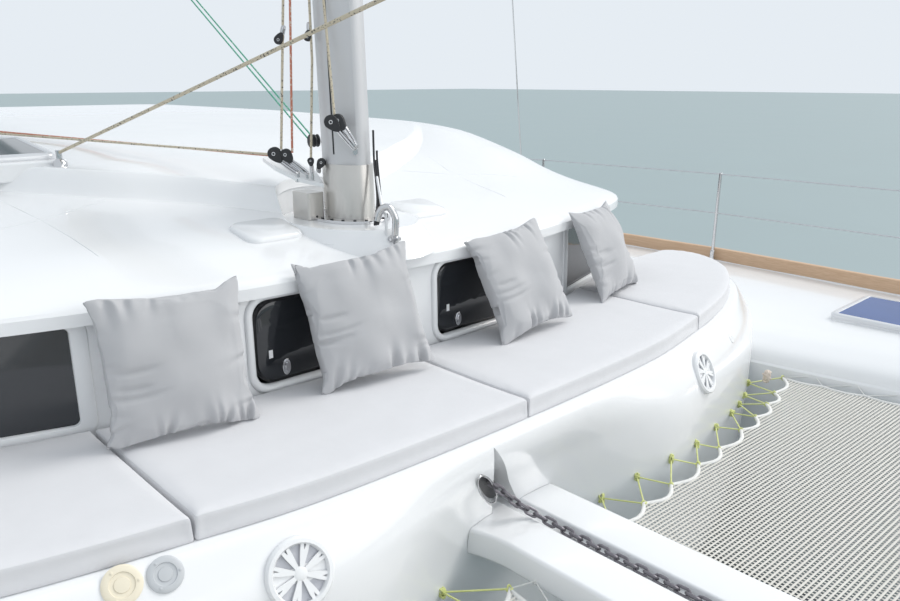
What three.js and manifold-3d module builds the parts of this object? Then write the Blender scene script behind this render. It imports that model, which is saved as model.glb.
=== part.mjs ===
// Sailing catamaran, 13 m long. Millimetres, +Z up, bows towards -Y, port towards +X.
// The origin is amidships on the centreline, at the waterline.
import * as THREE from "three";
import { mergeVertices } from "three/addons/utils/BufferGeometryUtils.js";
import Module from "manifold-3d";

const wasm = await Module();
wasm.setup();

// Driving dimensions
const LENGTH = 13000;
const STERN_Y = LENGTH / 2;
const HULL_X = 2920; // centre of each hull
const NET_Z = 1500; // trampolines and the hulls' inner deck edge
const SEAT_Z = 1925; // ledge under the sunbed
const CUSHION = 75;
const CUSHION_Z = SEAT_Z + CUSHION;
const FLOOR_Z = 920; // saloon and cockpit floor
const BRIDGE_Z = 720; // underside of the bridgedeck
const WALL_Y = -1210; // window wall at the centreline
const SEAT_Y = -1880; // front edge of the sunbed at the centreline
const CABIN_X = 2100; // half width of the cabin
const BULKHEAD_Y = 2300;
const WALL = 40; // thickness of the cabin's walls
const ROOF_EDGE_Z = 2390;
const ROOF_X = 2150;
const ROOF_AFT_Y = 4300;
const ROOF = 40; // thickness of the roof
const MAST_Y = -880;
const MAST_FOOT_Z = 2500;
const MAST_TOP_Z = 18600;
const MAST_RAKE = 0.035;
const BOOM_Z = 3720;
const BEAM_X = -30; // the centre beam's middle
const BEAM_Z = 1600;
const CROSSBEAM_Y = -5650;
const GAP = 0.3; // between touching pieces

// Materials
const paint = (color, roughness, metalness = 0) =>
  new THREE.MeshStandardMaterial({ color, roughness, metalness });
const GELCOAT = paint(0xf2f3f4, 0.3);
const GLASS = paint(0x25282d, 0.1);
const BLUE_GLASS = paint(0x50668f, 0.15);
const STEEL = paint(0xb8babb, 0.25, 1);
const ALUMINIUM = paint(0xb9bcbe, 0.4, 0.9);
const TEAK = paint(0xd9b596, 0.7);
const CUSHION_CLOTH = paint(0xd9dadd, 0.9);
const PILLOW_CLOTH = paint(0xb2b2b4, 0.9);
const NET = paint(0xbdbab2, 0.9);
const SAILCLOTH = paint(0xe8e6e0, 0.9);
const BAG_CLOTH = paint(0xb9b3aa, 0.9);
const CHAIN = paint(0x5d5a60, 0.5, 0.8);
const BRONZE = paint(0xb08d57, 0.4, 1);

const boat = new THREE.Group();

function place(name, geometry, material) {
  const mesh = new THREE.Mesh(geometry, material);
  mesh.name = name;
  boat.add(mesh);
}

// Solids: closed geometries joined and cut
function merged(geometry) {
  const bare = geometry.clone();
  bare.deleteAttribute("normal");
  bare.deleteAttribute("uv");
  return mergeVertices(bare, 1e-3);
}

function solid(geometry) {
  const g = merged(geometry);
  return new wasm.Manifold(
    new wasm.Mesh({
      numProp: 3,
      vertProperties: g.attributes.position.array,
      triVerts: new Uint32Array(g.index.array),
    }),
  );
}

function geometryOf(made) {
  const mesh = made.getMesh();
  const geometry = new THREE.BufferGeometry();
  geometry.setAttribute("position", new THREE.BufferAttribute(mesh.vertProperties, 3));
  geometry.setIndex(new THREE.BufferAttribute(mesh.triVerts, 1));
  return geometry;
}

function join(...geometries) {
  return geometryOf(geometries.map(solid).reduce((a, b) => a.add(b)));
}

function cut(geometry, ...tools) {
  return geometryOf(tools.map(solid).reduce((a, b) => a.subtract(b), solid(geometry)));
}

function shifted(geometry, x, y, z) {
  return geometry.clone().translate(x, y, z);
}

// Copies shifted up and aft by the gap, for what stands on a piece or ends against its rear
function grown(geometry) {
  return [shifted(geometry, 0, 0, GAP), shifted(geometry, 0, GAP, 0)];
}

function mirrored(geometry) {
  const flipped = merged(geometry);
  const position = flipped.attributes.position;
  for (let i = 0; i < position.count; i++) position.setX(i, -position.getX(i));
  const index = flipped.index.array;
  for (let i = 0; i < index.length; i += 3) {
    [index[i + 1], index[i + 2]] = [index[i + 2], index[i + 1]];
  }
  return flipped;
}

// A box between two corners
function block(x0, x1, y0, y1, z0, z1) {
  return new THREE.BoxGeometry(x1 - x0, y1 - y0, z1 - z0).translate(
    (x0 + x1) / 2,
    (y0 + y1) / 2,
    (z0 + z1) / 2,
  );
}

// A round bar between two points
function bar(from, to, radius, sides = 8, endRadius = radius) {
  const a = new THREE.Vector3(...from);
  const b = new THREE.Vector3(...to);
  const turn = new THREE.Quaternion().setFromUnitVectors(
    new THREE.Vector3(0, 1, 0),
    b.clone().sub(a).normalize(),
  );
  return new THREE.CylinderGeometry(endRadius, radius, a.distanceTo(b), sides)
    .applyQuaternion(turn)
    .translate(...a.add(b).multiplyScalar(0.5).toArray());
}

// A round tube along a smooth line through the points
function pipe(points, radius, steps, sides = 8) {
  const outline = new THREE.Shape().absarc(0, 0, radius, 0, 2 * Math.PI);
  const path = new THREE.CatmullRomCurve3(points.map((p) => new THREE.Vector3(...p)), false, "centripetal");
  return new THREE.ExtrudeGeometry(outline, { extrudePath: path, steps, curveSegments: sides / 2 });
}

// A skin over rings of equal length. Each end is closed with a fan, or with a ladder
// where the ring runs out along one side and back along the other.
function loft(rings, ends = "fan") {
  const count = rings[0].length;
  const points = rings.flat().slice();
  const index = [];
  for (let r = 0; r + 1 < rings.length; r++) {
    for (let i = 0; i < count; i++) {
      const j = (i + 1) % count;
      const [a, b] = [r * count + i, r * count + j];
      index.push(a, b, b + count, a, b + count, a + count);
    }
  }
  for (const r of [0, rings.length - 1]) {
    const start = r * count;
    const faces = [];
    if (ends === "fan") {
      const middle = rings[r].reduce((sum, p) => sum.map((v, k) => v + p[k] / count), [0, 0, 0]);
      points.push(middle);
      for (let i = 0; i < count; i++) faces.push([start + i, start + ((i + 1) % count), points.length - 1]);
    } else {
      for (let i = 0; i + 1 < count / 2; i++) {
        const [a, b, c, d] = [i, i + 1, count - 2 - i, count - 1 - i].map((k) => start + k);
        faces.push([a, b, c], [a, c, d]);
      }
    }
    for (const [a, b, c] of faces) index.push(...(r === 0 ? [a, c, b] : [a, b, c]));
  }
  return outward(points, index);
}

// A closed geometry from points and faces, turned to face outwards
function outward(points, index) {
  let volume = 0;
  const [a, b, c] = [new THREE.Vector3(), new THREE.Vector3(), new THREE.Vector3()];
  for (let i = 0; i < index.length; i += 3) {
    a.fromArray(points[index[i]]);
    b.fromArray(points[index[i + 1]]);
    c.fromArray(points[index[i + 2]]);
    volume += a.dot(b.cross(c));
  }
  if (volume < 0) {
    for (let i = 0; i < index.length; i += 3) [index[i], index[i + 1]] = [index[i + 1], index[i]];
  }
  const geometry = new THREE.BufferGeometry();
  geometry.setAttribute("position", new THREE.Float32BufferAttribute(points.flat(), 3));
  geometry.setIndex(index);
  return geometry;
}

// A slab between an upper and a lower surface over a grid of columns and rows
function slab(columns, rows, top, bottom) {
  const points = [];
  const index = [];
  for (const surface of [top, bottom]) {
    for (const u of columns) for (const v of rows) points.push(surface(u, v));
  }
  const high = rows.length;
  const under = columns.length * high;
  const at = (i, j, k) => k * under + i * high + j;
  const quad = (a, b, c, d) => index.push(a, b, c, a, c, d);
  for (let i = 0; i + 1 < columns.length; i++) {
    for (let j = 0; j + 1 < high; j++) {
      quad(at(i, j, 0), at(i + 1, j, 0), at(i + 1, j + 1, 0), at(i, j + 1, 0));
      quad(at(i, j, 1), at(i, j + 1, 1), at(i + 1, j + 1, 1), at(i + 1, j, 1));
    }
    quad(at(i, 0, 0), at(i, 0, 1), at(i + 1, 0, 1), at(i + 1, 0, 0));
    quad(at(i, high - 1, 0), at(i + 1, high - 1, 0), at(i + 1, high - 1, 1), at(i, high - 1, 1));
  }
  for (let j = 0; j + 1 < high; j++) {
    quad(at(0, j, 0), at(0, j + 1, 0), at(0, j + 1, 1), at(0, j, 1));
    const last = columns.length - 1;
    quad(at(last, j, 0), at(last, j, 1), at(last, j + 1, 1), at(last, j + 1, 0));
  }
  return outward(points, index);
}

// A value read from a table of [place, value] rows, straight between them
function between(table, place) {
  if (place <= table[0][0]) return table[0][1];
  for (let i = 1; i < table.length; i++) {
    const [p0, v0] = table[i - 1];
    const [p1, v1] = table[i];
    if (place <= p1) return v0 + ((v1 - v0) * (place - p0)) / (p1 - p0);
  }
  return table.at(-1)[1];
}

// Hulls. Columns: place along the hull, half width at the waterline, depth of the keel line,
// reach of the deck inboard and outboard of the hull's centre, deck height
const HULL = [
  [-6500, 20, 120, 60, 60, 1900],
  [-6420, 55, 260, 120, 120, 1895],
  [-6000, 140, 400, 280, 270, 1875],
  [-5300, 270, 520, 440, 430, 1850],
  [-4300, 400, 600, 570, 570, 1820],
  [-3300, 500, 650, 650, 670, 1790],
  [-2400, 570, 675, 690, 720, 1765],
  [-1700, 610, 690, 780, 770, 1755],
  [-600, 640, 700, 830, 860, 1750],
  [1200, 670, 700, 850, 870, 1730],
  [3000, 660, 620, 850, 860, 1700],
  [4700, 600, 450, 820, 840, 1670],
  [6500, 530, 170, 780, 780, 1640],
];
const column = (table, k) => table.map((row) => [row[0], row[k]]);
const deckInner = (y) => HULL_X - between(column(HULL, 3), y);
const deckOuter = (y) => HULL_X + between(column(HULL, 4), y);
const deckZ = (y) => between(column(HULL, 5), y);
const UNDER_STEPS = 12;
// The rounded inner shoulder. Columns: distance outboard of the hull's inner side, share of the
// way up from the net to the outer deck edge
const SHOULDER = [
  [15, 0.26],
  [55, 0.45],
  [150, 0.585],
  [300, 0.69],
];
const DECK_MIDDLE = 0.73;
const DECK_SIDE = 0.76;
const deckRise = (deck, share, shoulder = 1) => deck - (1 - share) * (deck - NET_Z + 30) * shoulder;

function hullRing([y, waterline, depth, inner, outer, deck]) {
  const ring = [];
  const add = (x, z) => ring.push([HULL_X + x, y, z]);
  const shoulder = Math.min(1, inner / 600);
  add(-inner, NET_Z - 30);
  for (const [inset, share] of SHOULDER) add(-inner + inset * shoulder, deckRise(deck, share, shoulder));
  add(0, deckRise(deck, DECK_MIDDLE, shoulder));
  add(outer - 60 * shoulder, deckRise(deck, DECK_SIDE, shoulder));
  add(outer, deck - 25 * shoulder);
  add(outer * 0.97 + waterline * 0.03, deck * 0.62);
  add(outer * 0.5 + waterline * 0.5, deck * 0.22);
  for (let i = 0; i <= UNDER_STEPS; i++) {
    const angle = (Math.PI * i) / UNDER_STEPS;
    const wide = Math.sign(Math.cos(angle)) * Math.abs(Math.cos(angle)) ** 0.8;
    add(waterline * wide, -depth * Math.sin(angle) ** 0.85);
  }
  add(-waterline * 0.6 - inner * 0.4, deck * 0.22);
  add(-waterline * 0.05 - inner * 0.95, deck * 0.5);
  return ring;
}

// Columns: where each stern step starts, its height
const STERN_STEPS = [
  [5350, 1250],
  [5720, 850],
  [6090, 420],
];
const RUDDER = { y: 5350, chord: 430, foot: -1150, head: -398, half: 36, stock: 24, bearing: -230 };
// Opening hatches on the hulls' decks: centre, half sizes, height of the coaming above the deck
const DECK_HATCH = { x: 3090, y: -2110, halfX: 300, halfY: 300, high: 12 };
const ENGINE_HATCH = { x: HULL_X, y: 4900, halfX: 330, halfY: 270, high: 26 };
const hatchZ = ({ y, high }) => deckRise(deckZ(y), DECK_MIDDLE) + high;
function hatchFrame(hatch) {
  const { x, y, halfX, halfY } = hatch;
  const z = hatchZ(hatch);
  return block(x - halfX, x + halfX, y - halfY, y + halfY, z - 150, z);
}
function hull() {
  const steps = STERN_STEPS.map(([y, z]) => block(HULL_X - 900, HULL_X + 900, y, STERN_Y + 50, z, 2000));
  const bearing = bar([HULL_X, RUDDER.y, -500], [HULL_X, RUDDER.y, RUDDER.bearing], RUDDER.stock + 1, 24);
  const frames = [DECK_HATCH, ENGINE_HATCH].map(hatchFrame);
  return cut(join(loft(HULL.map(hullRing)), ...frames), ...steps, bearing);
}
const hullPort = hull();
const hullStarboard = mirrored(hullPort);
place("hull_port", hullPort, GELCOAT);
place("hull_starboard", hullStarboard, GELCOAT);

// The hulls grown by the gap, for what stands on their decks or leans on their inner sides
const hullsWithGap = [
  shifted(hullPort, -GAP, 0, GAP),
  shifted(hullStarboard, GAP, 0, GAP),
];

// Fixed keels under the hulls. Columns: height, front edge, rear edge, half thickness
const KEEL = [
  [-560, -1150, 1250, 110],
  [-900, -1080, 1120, 105],
  [-1280, -1000, 950, 95],
];
const KEEL_SIDES = 14;
function keel() {
  const rings = KEEL.map(([z, front, rear, half]) => {
    const ring = [];
    for (let i = 0; i < KEEL_SIDES; i++) {
      const angle = (2 * Math.PI * i) / KEEL_SIDES;
      const along = (1 - Math.cos(angle)) / 2;
      const thick = half * 2.6 * Math.sqrt(along) * (1 - along) * Math.sign(Math.sin(angle));
      ring.push([HULL_X + (i === 0 ? 0 : thick), front + (rear - front) * along, z]);
    }
    return ring;
  });
  return cut(loft(rings), shifted(hullPort, 0, 0, -GAP));
}
const keelPort = keel();
place("keel_port", keelPort, GELCOAT);
place("keel_starboard", mirrored(keelPort), GELCOAT);

// Plan curves of the foredeck. Columns: distance from the centreline, place along the boat
const WALL_PLAN = [
  [0, WALL_Y],
  [350, -1207],
  [700, -1190],
  [1170, -1100],
  [1600, -970],
  [1850, -870],
  [1980, -770],
  [2060, -640],
  [CABIN_X, -450],
];
const SEAT_PLAN = [
  [0, SEAT_Y],
  [450, -1873],
  [870, -1850],
  [1200, -1795],
  [1500, -1735],
  [1750, -1665],
  [1950, -1590],
  [2150, -1490],
  [2330, -1370],
  [2460, -1230],
  [2530, -1090],
  [2540, -980],
  [2500, -890],
  [2420, -860],
];

// How far the moulding stands out from the seat's edge. Columns: height, on the centreline, at the sides
const MOULDING = [
  [SEAT_Z, 25, 25],
  [SEAT_Z - 12, 45, 48],
  [SEAT_Z - 45, 50, 72],
  [SEAT_Z - 115, 35, 115],
  [SEAT_Z - 210, -5, 140],
  [SEAT_Z - 330, -35, 145],
  [NET_Z, -45, 145],
  [NET_Z - 120, -45, 140],
  [FLOOR_Z + GAP, -45, 120],
];
const SIDE_X = 900; // from here out the moulding has its full side profile

function outwardOf(plan, i) {
  const [x0, y0] = plan[Math.max(0, i - 1)];
  const [x1, y1] = plan[Math.min(plan.length - 1, i + 1)];
  const long = Math.hypot(x1 - x0, y1 - y0);
  return i === 0 ? [0, -1] : [(y1 - y0) / long, -(x1 - x0) / long];
}

function seatFront(middle, side) {
  return SEAT_PLAN.map(([x, y], i) => {
    const [nx, ny] = outwardOf(SEAT_PLAN, i);
    const share = THREE.MathUtils.smoothstep(x, 100, SIDE_X);
    const reach = middle + (side - middle) * share;
    return [x + nx * reach, y + ny * reach];
  });
}

// Both sides of a half outline, from starboard to port
function bothSides(half) {
  const starboard = half.slice(1).reverse().map(([x, y]) => [-x, y]);
  return [...starboard, ...half];
}

const REAR_PLAN = SEAT_PLAN.map((_, i) => {
  const x = (2420 * i) / (SEAT_PLAN.length - 1);
  return [x, between(WALL_PLAN, Math.min(x, 2050)) + WALL + 30];
});

function seatMoulding() {
  const rings = MOULDING.map(([z, middle, side]) => {
    const front = bothSides(seatFront(middle, side));
    const rear = bothSides(REAR_PLAN).reverse();
    return [...front, ...rear].map(([x, y]) => [x, y, z]);
  });
  return loft(rings, "ladder");
}

// The notch above the centre beam, where the chain goes in: a starboard and a port face that meet in
// a valley, which runs from the rim down and aft to the beam
const NOTCH = {
  rim: [-276, -1986, 1990],
  valley: [26, -1649, 1530],
  port: [60, -2080, 1530],
  starboard: [-330, -2080, 1530],
};
function notch() {
  const { rim, valley, port, starboard } = NOTCH;
  return outward([rim, valley, port, starboard], [0, 1, 2, 0, 2, 3, 0, 3, 1, 1, 3, 2]);
}
const moulding = cut(seatMoulding(), notch(), ...hullsWithGap);
place("seat_moulding", moulding, GELCOAT);

// The bridgedeck: a slab between the hulls. Columns: height, how far its front edge is set back
const BRIDGE_FRONT = [
  [BRIDGE_Z, 160],
  [BRIDGE_Z + 60, 20],
  [FLOOR_Z, 0],
];
const BRIDGE_AFT_Y = 5600;
const BRIDGE_POINTS = 9; // of the seat plan, out to the hulls
function bridgedeck() {
  const rings = BRIDGE_FRONT.map(([z, back]) => {
    const front = bothSides(seatFront(-45 - back, 120 - back).slice(0, BRIDGE_POINTS));
    const rear = front.map(([x]) => [x, BRIDGE_AFT_Y - back / 2]).reverse();
    return [...front, ...rear].map(([x, y]) => [x, y, z]);
  });
  return cut(loft(rings, "ladder"), ...hullsWithGap);
}
place("bridgedeck", bridgedeck(), GELCOAT);

// The roof. How it rises from its front edge.
// Columns: distance aft of that edge, rise near the centreline, rise near the sides
const ROOF_RISE = [
  [0, 0, 0],
  [40, 20, 20],
  [130, 45, 45],
  [350, 95, 95],
  [550, 130, 155],
  [750, 165, 235],
  [1050, 225, 325],
  [1250, 245, 370],
  [1600, 280, 400],
  [2000, 300, 410],
  [2700, 325, 420],
  [3500, 340, 430],
];
const ROOF_MIDDLE = 1000; // half width of the middle
const ROOF_SIDE = 1600; // from here out the side's rise holds
// The roof's raised middle begins at a riser. Columns: distance from the centreline, foot of the riser
const RISER_PLAN = [
  [0, -720],
  [170, -700],
  [320, -560],
  [480, -430],
  [610, -350],
  [750, -270],
  [900, -160],
  [1000, -90],
  [1300, 150],
  [1600, 500],
  [ROOF_X, 900],
];
const RISER = 90;
const RISER_LONG = 60;
const ROOF_OVERHANG = 15;
const ROOF_COLUMNS = [-1, -0.985, -0.95, -0.88, -0.78, -0.64, -0.52, -0.42, -0.28, -0.15, 0];
const FRONT_ROWS = [0, 0.04, 0.12, 0.4, 0.7, 1];
const REAR_ROWS = [0, 0.08, 0.18, 0.3, 0.45, 0.7, 1];
const ROOF_ROWS = [...FRONT_ROWS, ...REAR_ROWS.map((share) => share + 2)];
const roofFront = (x) => between(WALL_PLAN, Math.abs(x) * (CABIN_X / ROOF_X)) - ROOF_OVERHANG;
const riserFoot = (x) => between(RISER_PLAN, Math.abs(x));

// Height of the roof's outer surface at a place
function roofZ(x, y) {
  const across = Math.sqrt(Math.max(0, 1 - Math.abs(x / ROOF_X) ** 10));
  const side = THREE.MathUtils.smoothstep(Math.abs(x), ROOF_MIDDLE, ROOF_SIDE);
  const raised = THREE.MathUtils.clamp((y - riserFoot(x)) / RISER_LONG, 0, 1) * RISER;
  const [near, far] = [1, 2].map((k) => between(column(ROOF_RISE, k), y - roofFront(x)));
  return ROOF_EDGE_Z + ((near + raised) * (1 - side) + far * side) * across;
}

// Rows up to 1 divide the roof in front of the riser, rows from 2 to 3 the roof behind it
function roofPoint(thickness) {
  return (u, row) => {
    const x = u * ROOF_X;
    const foot = riserFoot(x);
    const top = foot + RISER_LONG;
    const y = row <= 1 ? roofFront(x) + row * (foot - roofFront(x)) : top + (row - 2) * (ROOF_AFT_Y - top);
    return [x, y, roofZ(x, y) - thickness];
  };
}
const roofColumns = [...ROOF_COLUMNS, ...ROOF_COLUMNS.slice(0, -1).reverse().map((u) => -u)];
const roofShell = slab(roofColumns, ROOF_ROWS, roofPoint(0), roofPoint(ROOF));
const aboveRoof = slab(
  roofColumns,
  ROOF_ROWS,
  (u, v) => [u * ROOF_X, roofPoint(0)(u, v)[1], ROOF_EDGE_Z + 2000],
  roofPoint(ROOF + GAP),
);

// Posts that carry the hardtop's aft corners, down to the cockpit coaming
const POST_X = 1950;
const POST_Y = 4150;
const posts = [-1, 1].map((s) =>
  bar([s * POST_X, POST_Y, 1690], [s * POST_X, POST_Y, roofZ(POST_X, POST_Y) - ROOF / 2], 30, 10),
);

// Coaming of the opening roof hatch, which lies on the slope of the roof
const ROOF_HATCH = { x: -1090, y: 230, half: 250, slope: 0.09, high: 18 };
const hatchFoot = [ROOF_HATCH.x, ROOF_HATCH.y, roofZ(ROOF_HATCH.x, ROOF_HATCH.y)];
const onRoof = (geometry) => geometry.rotateX(ROOF_HATCH.slope).translate(...hatchFoot);
const coamingHalf = ROOF_HATCH.half + 30;
const holeHalf = ROOF_HATCH.half - 40;
const hatchCoaming = onRoof(block(-coamingHalf, coamingHalf, -coamingHalf, coamingHalf, -60, ROOF_HATCH.high));
const hatchHole = onRoof(block(-holeHalf, holeHalf, -holeHalf, holeHalf, -400, 300));

// The plinth moulded into the roof under the mast, level with a recess behind it.
// Columns: height, half width, half length
const PLINTH = [
  [MAST_FOOT_Z - 110, 320, 400],
  [MAST_FOOT_Z - 30, 270, 340],
  [MAST_FOOT_Z, 250, 320],
];
const RECESS = [
  [MAST_FOOT_Z, 250, 320],
  [MAST_FOOT_Z + 100, 280, 350],
];
function ovals(table) {
  return loft(
    table.map(([z, halfX, halfY]) =>
      Array.from({ length: 24 }, (_, i) => {
        const angle = (2 * Math.PI * i) / 24;
        return [halfX * Math.cos(angle), MAST_Y + halfY * Math.sin(angle), z];
      }),
    ),
  );
}
const coachroof = cut(join(roofShell, hatchCoaming, ovals(PLINTH), ...posts), hatchHole, ovals(RECESS));
place("coachroof", coachroof, GELCOAT);

// Cabin walls: a shell that follows the window wall and runs aft to the bulkhead
const WALL_TOP_LEAN = 25;
function cabinPrism(inset, z0, z1, lean) {
  const half = [...WALL_PLAN, [CABIN_X, BULKHEAD_Y]];
  const offset = (shift) =>
    half.map(([x, y], i) => {
      const [nx, ny] = i === half.length - 1 ? [1, 0] : outwardOf(half, i);
      return [x - nx * (inset + shift), y - ny * (inset + shift)];
    });
  const rings = [
    [z0, 0],
    [z1, lean],
  ].map(([z, shift]) => {
    const side = offset(shift).map(([x, y]) => [x, Math.min(y, BULKHEAD_Y), z]);
    const other = side.slice(1).reverse().map(([x, y]) => [-x, y, z]);
    return [...other, ...side];
  });
  return loft(rings);
}

// Windows. Columns: name, inner edge, outer edge, bottom and top above the cushions
const FRONT_WINDOW = { inner: 1200, outer: 1840, low: CUSHION_Z + 5, high: CUSHION_Z + 335 };
const PORTLIGHT = { inner: 190, outer: 650, low: CUSHION_Z + 5, high: CUSHION_Z + 325 };
const SIDE_WINDOW = { front: -250, rear: 1950, low: 2020, high: 2330 };

function roundedPlate(x0, x1, z0, z1, radius, depth) {
  const shape = new THREE.Shape();
  const corners = [
    [x1 - radius, z0 + radius, -Math.PI / 2],
    [x1 - radius, z1 - radius, 0],
    [x0 + radius, z1 - radius, Math.PI / 2],
    [x0 + radius, z0 + radius, Math.PI],
  ];
  shape.moveTo(x0 + radius, z0);
  for (const [x, z, start] of corners) shape.absarc(x, z, radius, start, start + Math.PI / 2, false);
  return new THREE.ExtrudeGeometry(shape, { depth, bevelEnabled: false, curveSegments: 4 }).rotateX(
    Math.PI / 2,
  );
}

const PORTLIGHT_RADIUS = 60;
function portlightHole(side, grow) {
  const [x0, x1] = side > 0 ? [PORTLIGHT.inner, PORTLIGHT.outer] : [-PORTLIGHT.outer, -PORTLIGHT.inner];
  return roundedPlate(
    x0 - grow,
    x1 + grow,
    PORTLIGHT.low - grow,
    PORTLIGHT.high + grow,
    PORTLIGHT_RADIUS + grow,
    400,
  ).translate(0, WALL_Y + 300, 0);
}

function frontWindowHole(side) {
  const [x0, x1] = side > 0
    ? [FRONT_WINDOW.inner, FRONT_WINDOW.outer]
    : [-FRONT_WINDOW.outer, -FRONT_WINDOW.inner];
  return roundedPlate(x0, x1, FRONT_WINDOW.low, FRONT_WINDOW.high, 25, 700).translate(0, -600, 0);
}

function sideWindowHole(side) {
  const plate = roundedPlate(
    SIDE_WINDOW.front,
    SIDE_WINDOW.rear,
    SIDE_WINDOW.low,
    SIDE_WINDOW.high,
    60,
    400,
  );
  return plate.rotateZ(Math.PI / 2).translate(side > 0 ? CABIN_X - 200 : -CABIN_X - 200, 0, 0);
}

function cabinShell(outer, inner, z0, z1) {
  const lean = WALL_TOP_LEAN;
  return cut(cabinPrism(outer, z0, z1, lean), cabinPrism(inner, z0 - 5, z1 + 5, lean));
}
const WALL_LOW_Z = 1500;
const wallShell = cut(
  cabinShell(0, WALL, WALL_LOW_Z, 3000),
  block(-CABIN_X, CABIN_X, BULKHEAD_Y - WALL - 5, BULKHEAD_Y + 5, 1000, 3100),
  aboveRoof,
  ...grown(moulding),
  ...hullsWithGap,
  ...[-1, 1].flatMap((s) => [portlightHole(s, 0), frontWindowHole(s), sideWindowHole(s)]),
);
place("cabin_walls", wallShell, GELCOAT);

// Fixed glass, set in the middle of the wall's thickness
const GLASS_IN = 14;
const GLASS_OUT = 22;
const glassSkin = cabinShell(GLASS_IN, GLASS_OUT, WALL_LOW_Z, 3000);
for (const [side, word] of [[1, "port"], [-1, "starboard"]]) {
  const within = (hole) => geometryOf(solid(glassSkin).intersect(solid(hole)));
  place("front_window_" + word, within(frontWindowHole(side)), GLASS);
  place("side_window_" + word, within(sideWindowHole(side)), GLASS);
}

// Opening portlights: frame and glass in one leaf that swings inwards on two knuckles at its top edge
const LEAF_CLEAR = 6;
const LEAF_FRAME = 32;
const LEAF_Y = WALL_Y + 34; // outer face of the leaf
const LEAF = 16;
const LEAF_RADIUS = 82; // wide enough for the upper corners to swing in past the opening's
const LEAF_HINGE = { y: LEAF_Y + LEAF, z: PORTLIGHT.high - LEAF_CLEAR };
function portlightLeaf() {
  const leaf = roundedPlate(
    PORTLIGHT.inner + LEAF_CLEAR,
    PORTLIGHT.outer - LEAF_CLEAR,
    PORTLIGHT.low + LEAF_CLEAR,
    PORTLIGHT.high - LEAF_CLEAR,
    LEAF_RADIUS,
    LEAF,
  );
  const recess = roundedPlate(
    PORTLIGHT.inner + LEAF_CLEAR + LEAF_FRAME,
    PORTLIGHT.outer - LEAF_CLEAR - LEAF_FRAME,
    PORTLIGHT.low + LEAF_CLEAR + LEAF_FRAME,
    PORTLIGHT.high - LEAF_CLEAR - LEAF_FRAME,
    LEAF_RADIUS - LEAF_FRAME,
    10,
  );
  const knuckles = [-1, 1].map((s) => {
    const x = (PORTLIGHT.inner + PORTLIGHT.outer) / 2 + s * 120;
    return bar([x - 30, LEAF_HINGE.y, LEAF_HINGE.z], [x + 30, LEAF_HINGE.y, LEAF_HINGE.z], LEAF_CLEAR - GAP, 12);
  });
  const pane = cut(leaf.translate(0, LEAF_HINGE.y, 0), recess.translate(0, LEAF_Y + 4, 0));
  return join(pane, ...knuckles);
}
const leafPort = portlightLeaf();
place("portlight_port", leafPort, GLASS);
place("portlight_starboard", mirrored(leafPort), GLASS);

// Aft bulkhead of the saloon with the door opening, the recess of a fixed pane and the door's track
const DOOR = { x0: -350, x1: 650, low: FLOOR_Z + 30, high: 2620, travel: 1000 };
const PANE = { x0: 900, x1: 1850, low: 1650, high: 2500 };
const DOOR_LAP = 40;
const DOOR_CLEAR = 6;
const DOOR_LEAF = 30;
const DOOR_Y = BULKHEAD_Y + DOOR_CLEAR;
const TRACK_Z = DOOR.low + 8;
const through = [BULKHEAD_Y - 100, BULKHEAD_Y + 100];
const bulkheadPlate = cut(
  block(-2080, 2080, BULKHEAD_Y - WALL, BULKHEAD_Y, FLOOR_Z + GAP, 3100),
  aboveRoof,
  ...hullsWithGap,
  block(DOOR.x0, DOOR.x1, ...through, DOOR.low, DOOR.high),
  block(PANE.x0, PANE.x1, BULKHEAD_Y - 14, BULKHEAD_Y + 100, PANE.low, PANE.high),
);
const track = block(
  DOOR.x0 - DOOR_LAP,
  DOOR.x1 + DOOR_LAP + DOOR.travel,
  BULKHEAD_Y - 10,
  DOOR_Y + DOOR_LEAF,
  FLOOR_Z + GAP,
  TRACK_Z - GAP,
);
place("cabin_bulkhead", join(bulkheadPlate, cut(track, ...hullsWithGap)), GELCOAT);

const doorLeaf = cut(
  block(DOOR.x0 - DOOR_LAP, DOOR.x1 + DOOR_LAP, DOOR_Y, DOOR_Y + DOOR_LEAF, TRACK_Z, DOOR.high + DOOR_LAP),
  block(DOOR.x0 + 50, DOOR.x1 - 50, DOOR_Y - 10, DOOR_Y + 20, DOOR.low + 100, DOOR.high - 60),
);
place("saloon_door", doorLeaf, GLASS);

// Cockpit: a bench across the stern, a lounge seat to port, the helm console to starboard
const BENCH_Z = 1380;
const bench = cut(
  join(
    block(-1600, 1600, 4900, 5500, FLOOR_Z + GAP, BENCH_Z),
    block(-1600, 1600, 5420, 5560, FLOOR_Z + GAP, 1900),
    block(1350, 2150, 3000, 5560, FLOOR_Z + GAP, BENCH_Z),
  ),
  ...hullsWithGap,
);
place("cockpit_bench", bench, GELCOAT);

// Coamings along the cockpit's sides: the port one stands on the lounge seat
const COAMING_Z = 1690;
function coaming(side, foot) {
  const shape = block(1830, 2130, 3900, 5300, foot + GAP, COAMING_Z - GAP);
  return cut(side > 0 ? shape : mirrored(shape), ...hullsWithGap);
}
place("cockpit_coaming_port", coaming(1, BENCH_Z), GELCOAT);
place("cockpit_coaming_starboard", coaming(-1, FLOOR_Z), GELCOAT);

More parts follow.
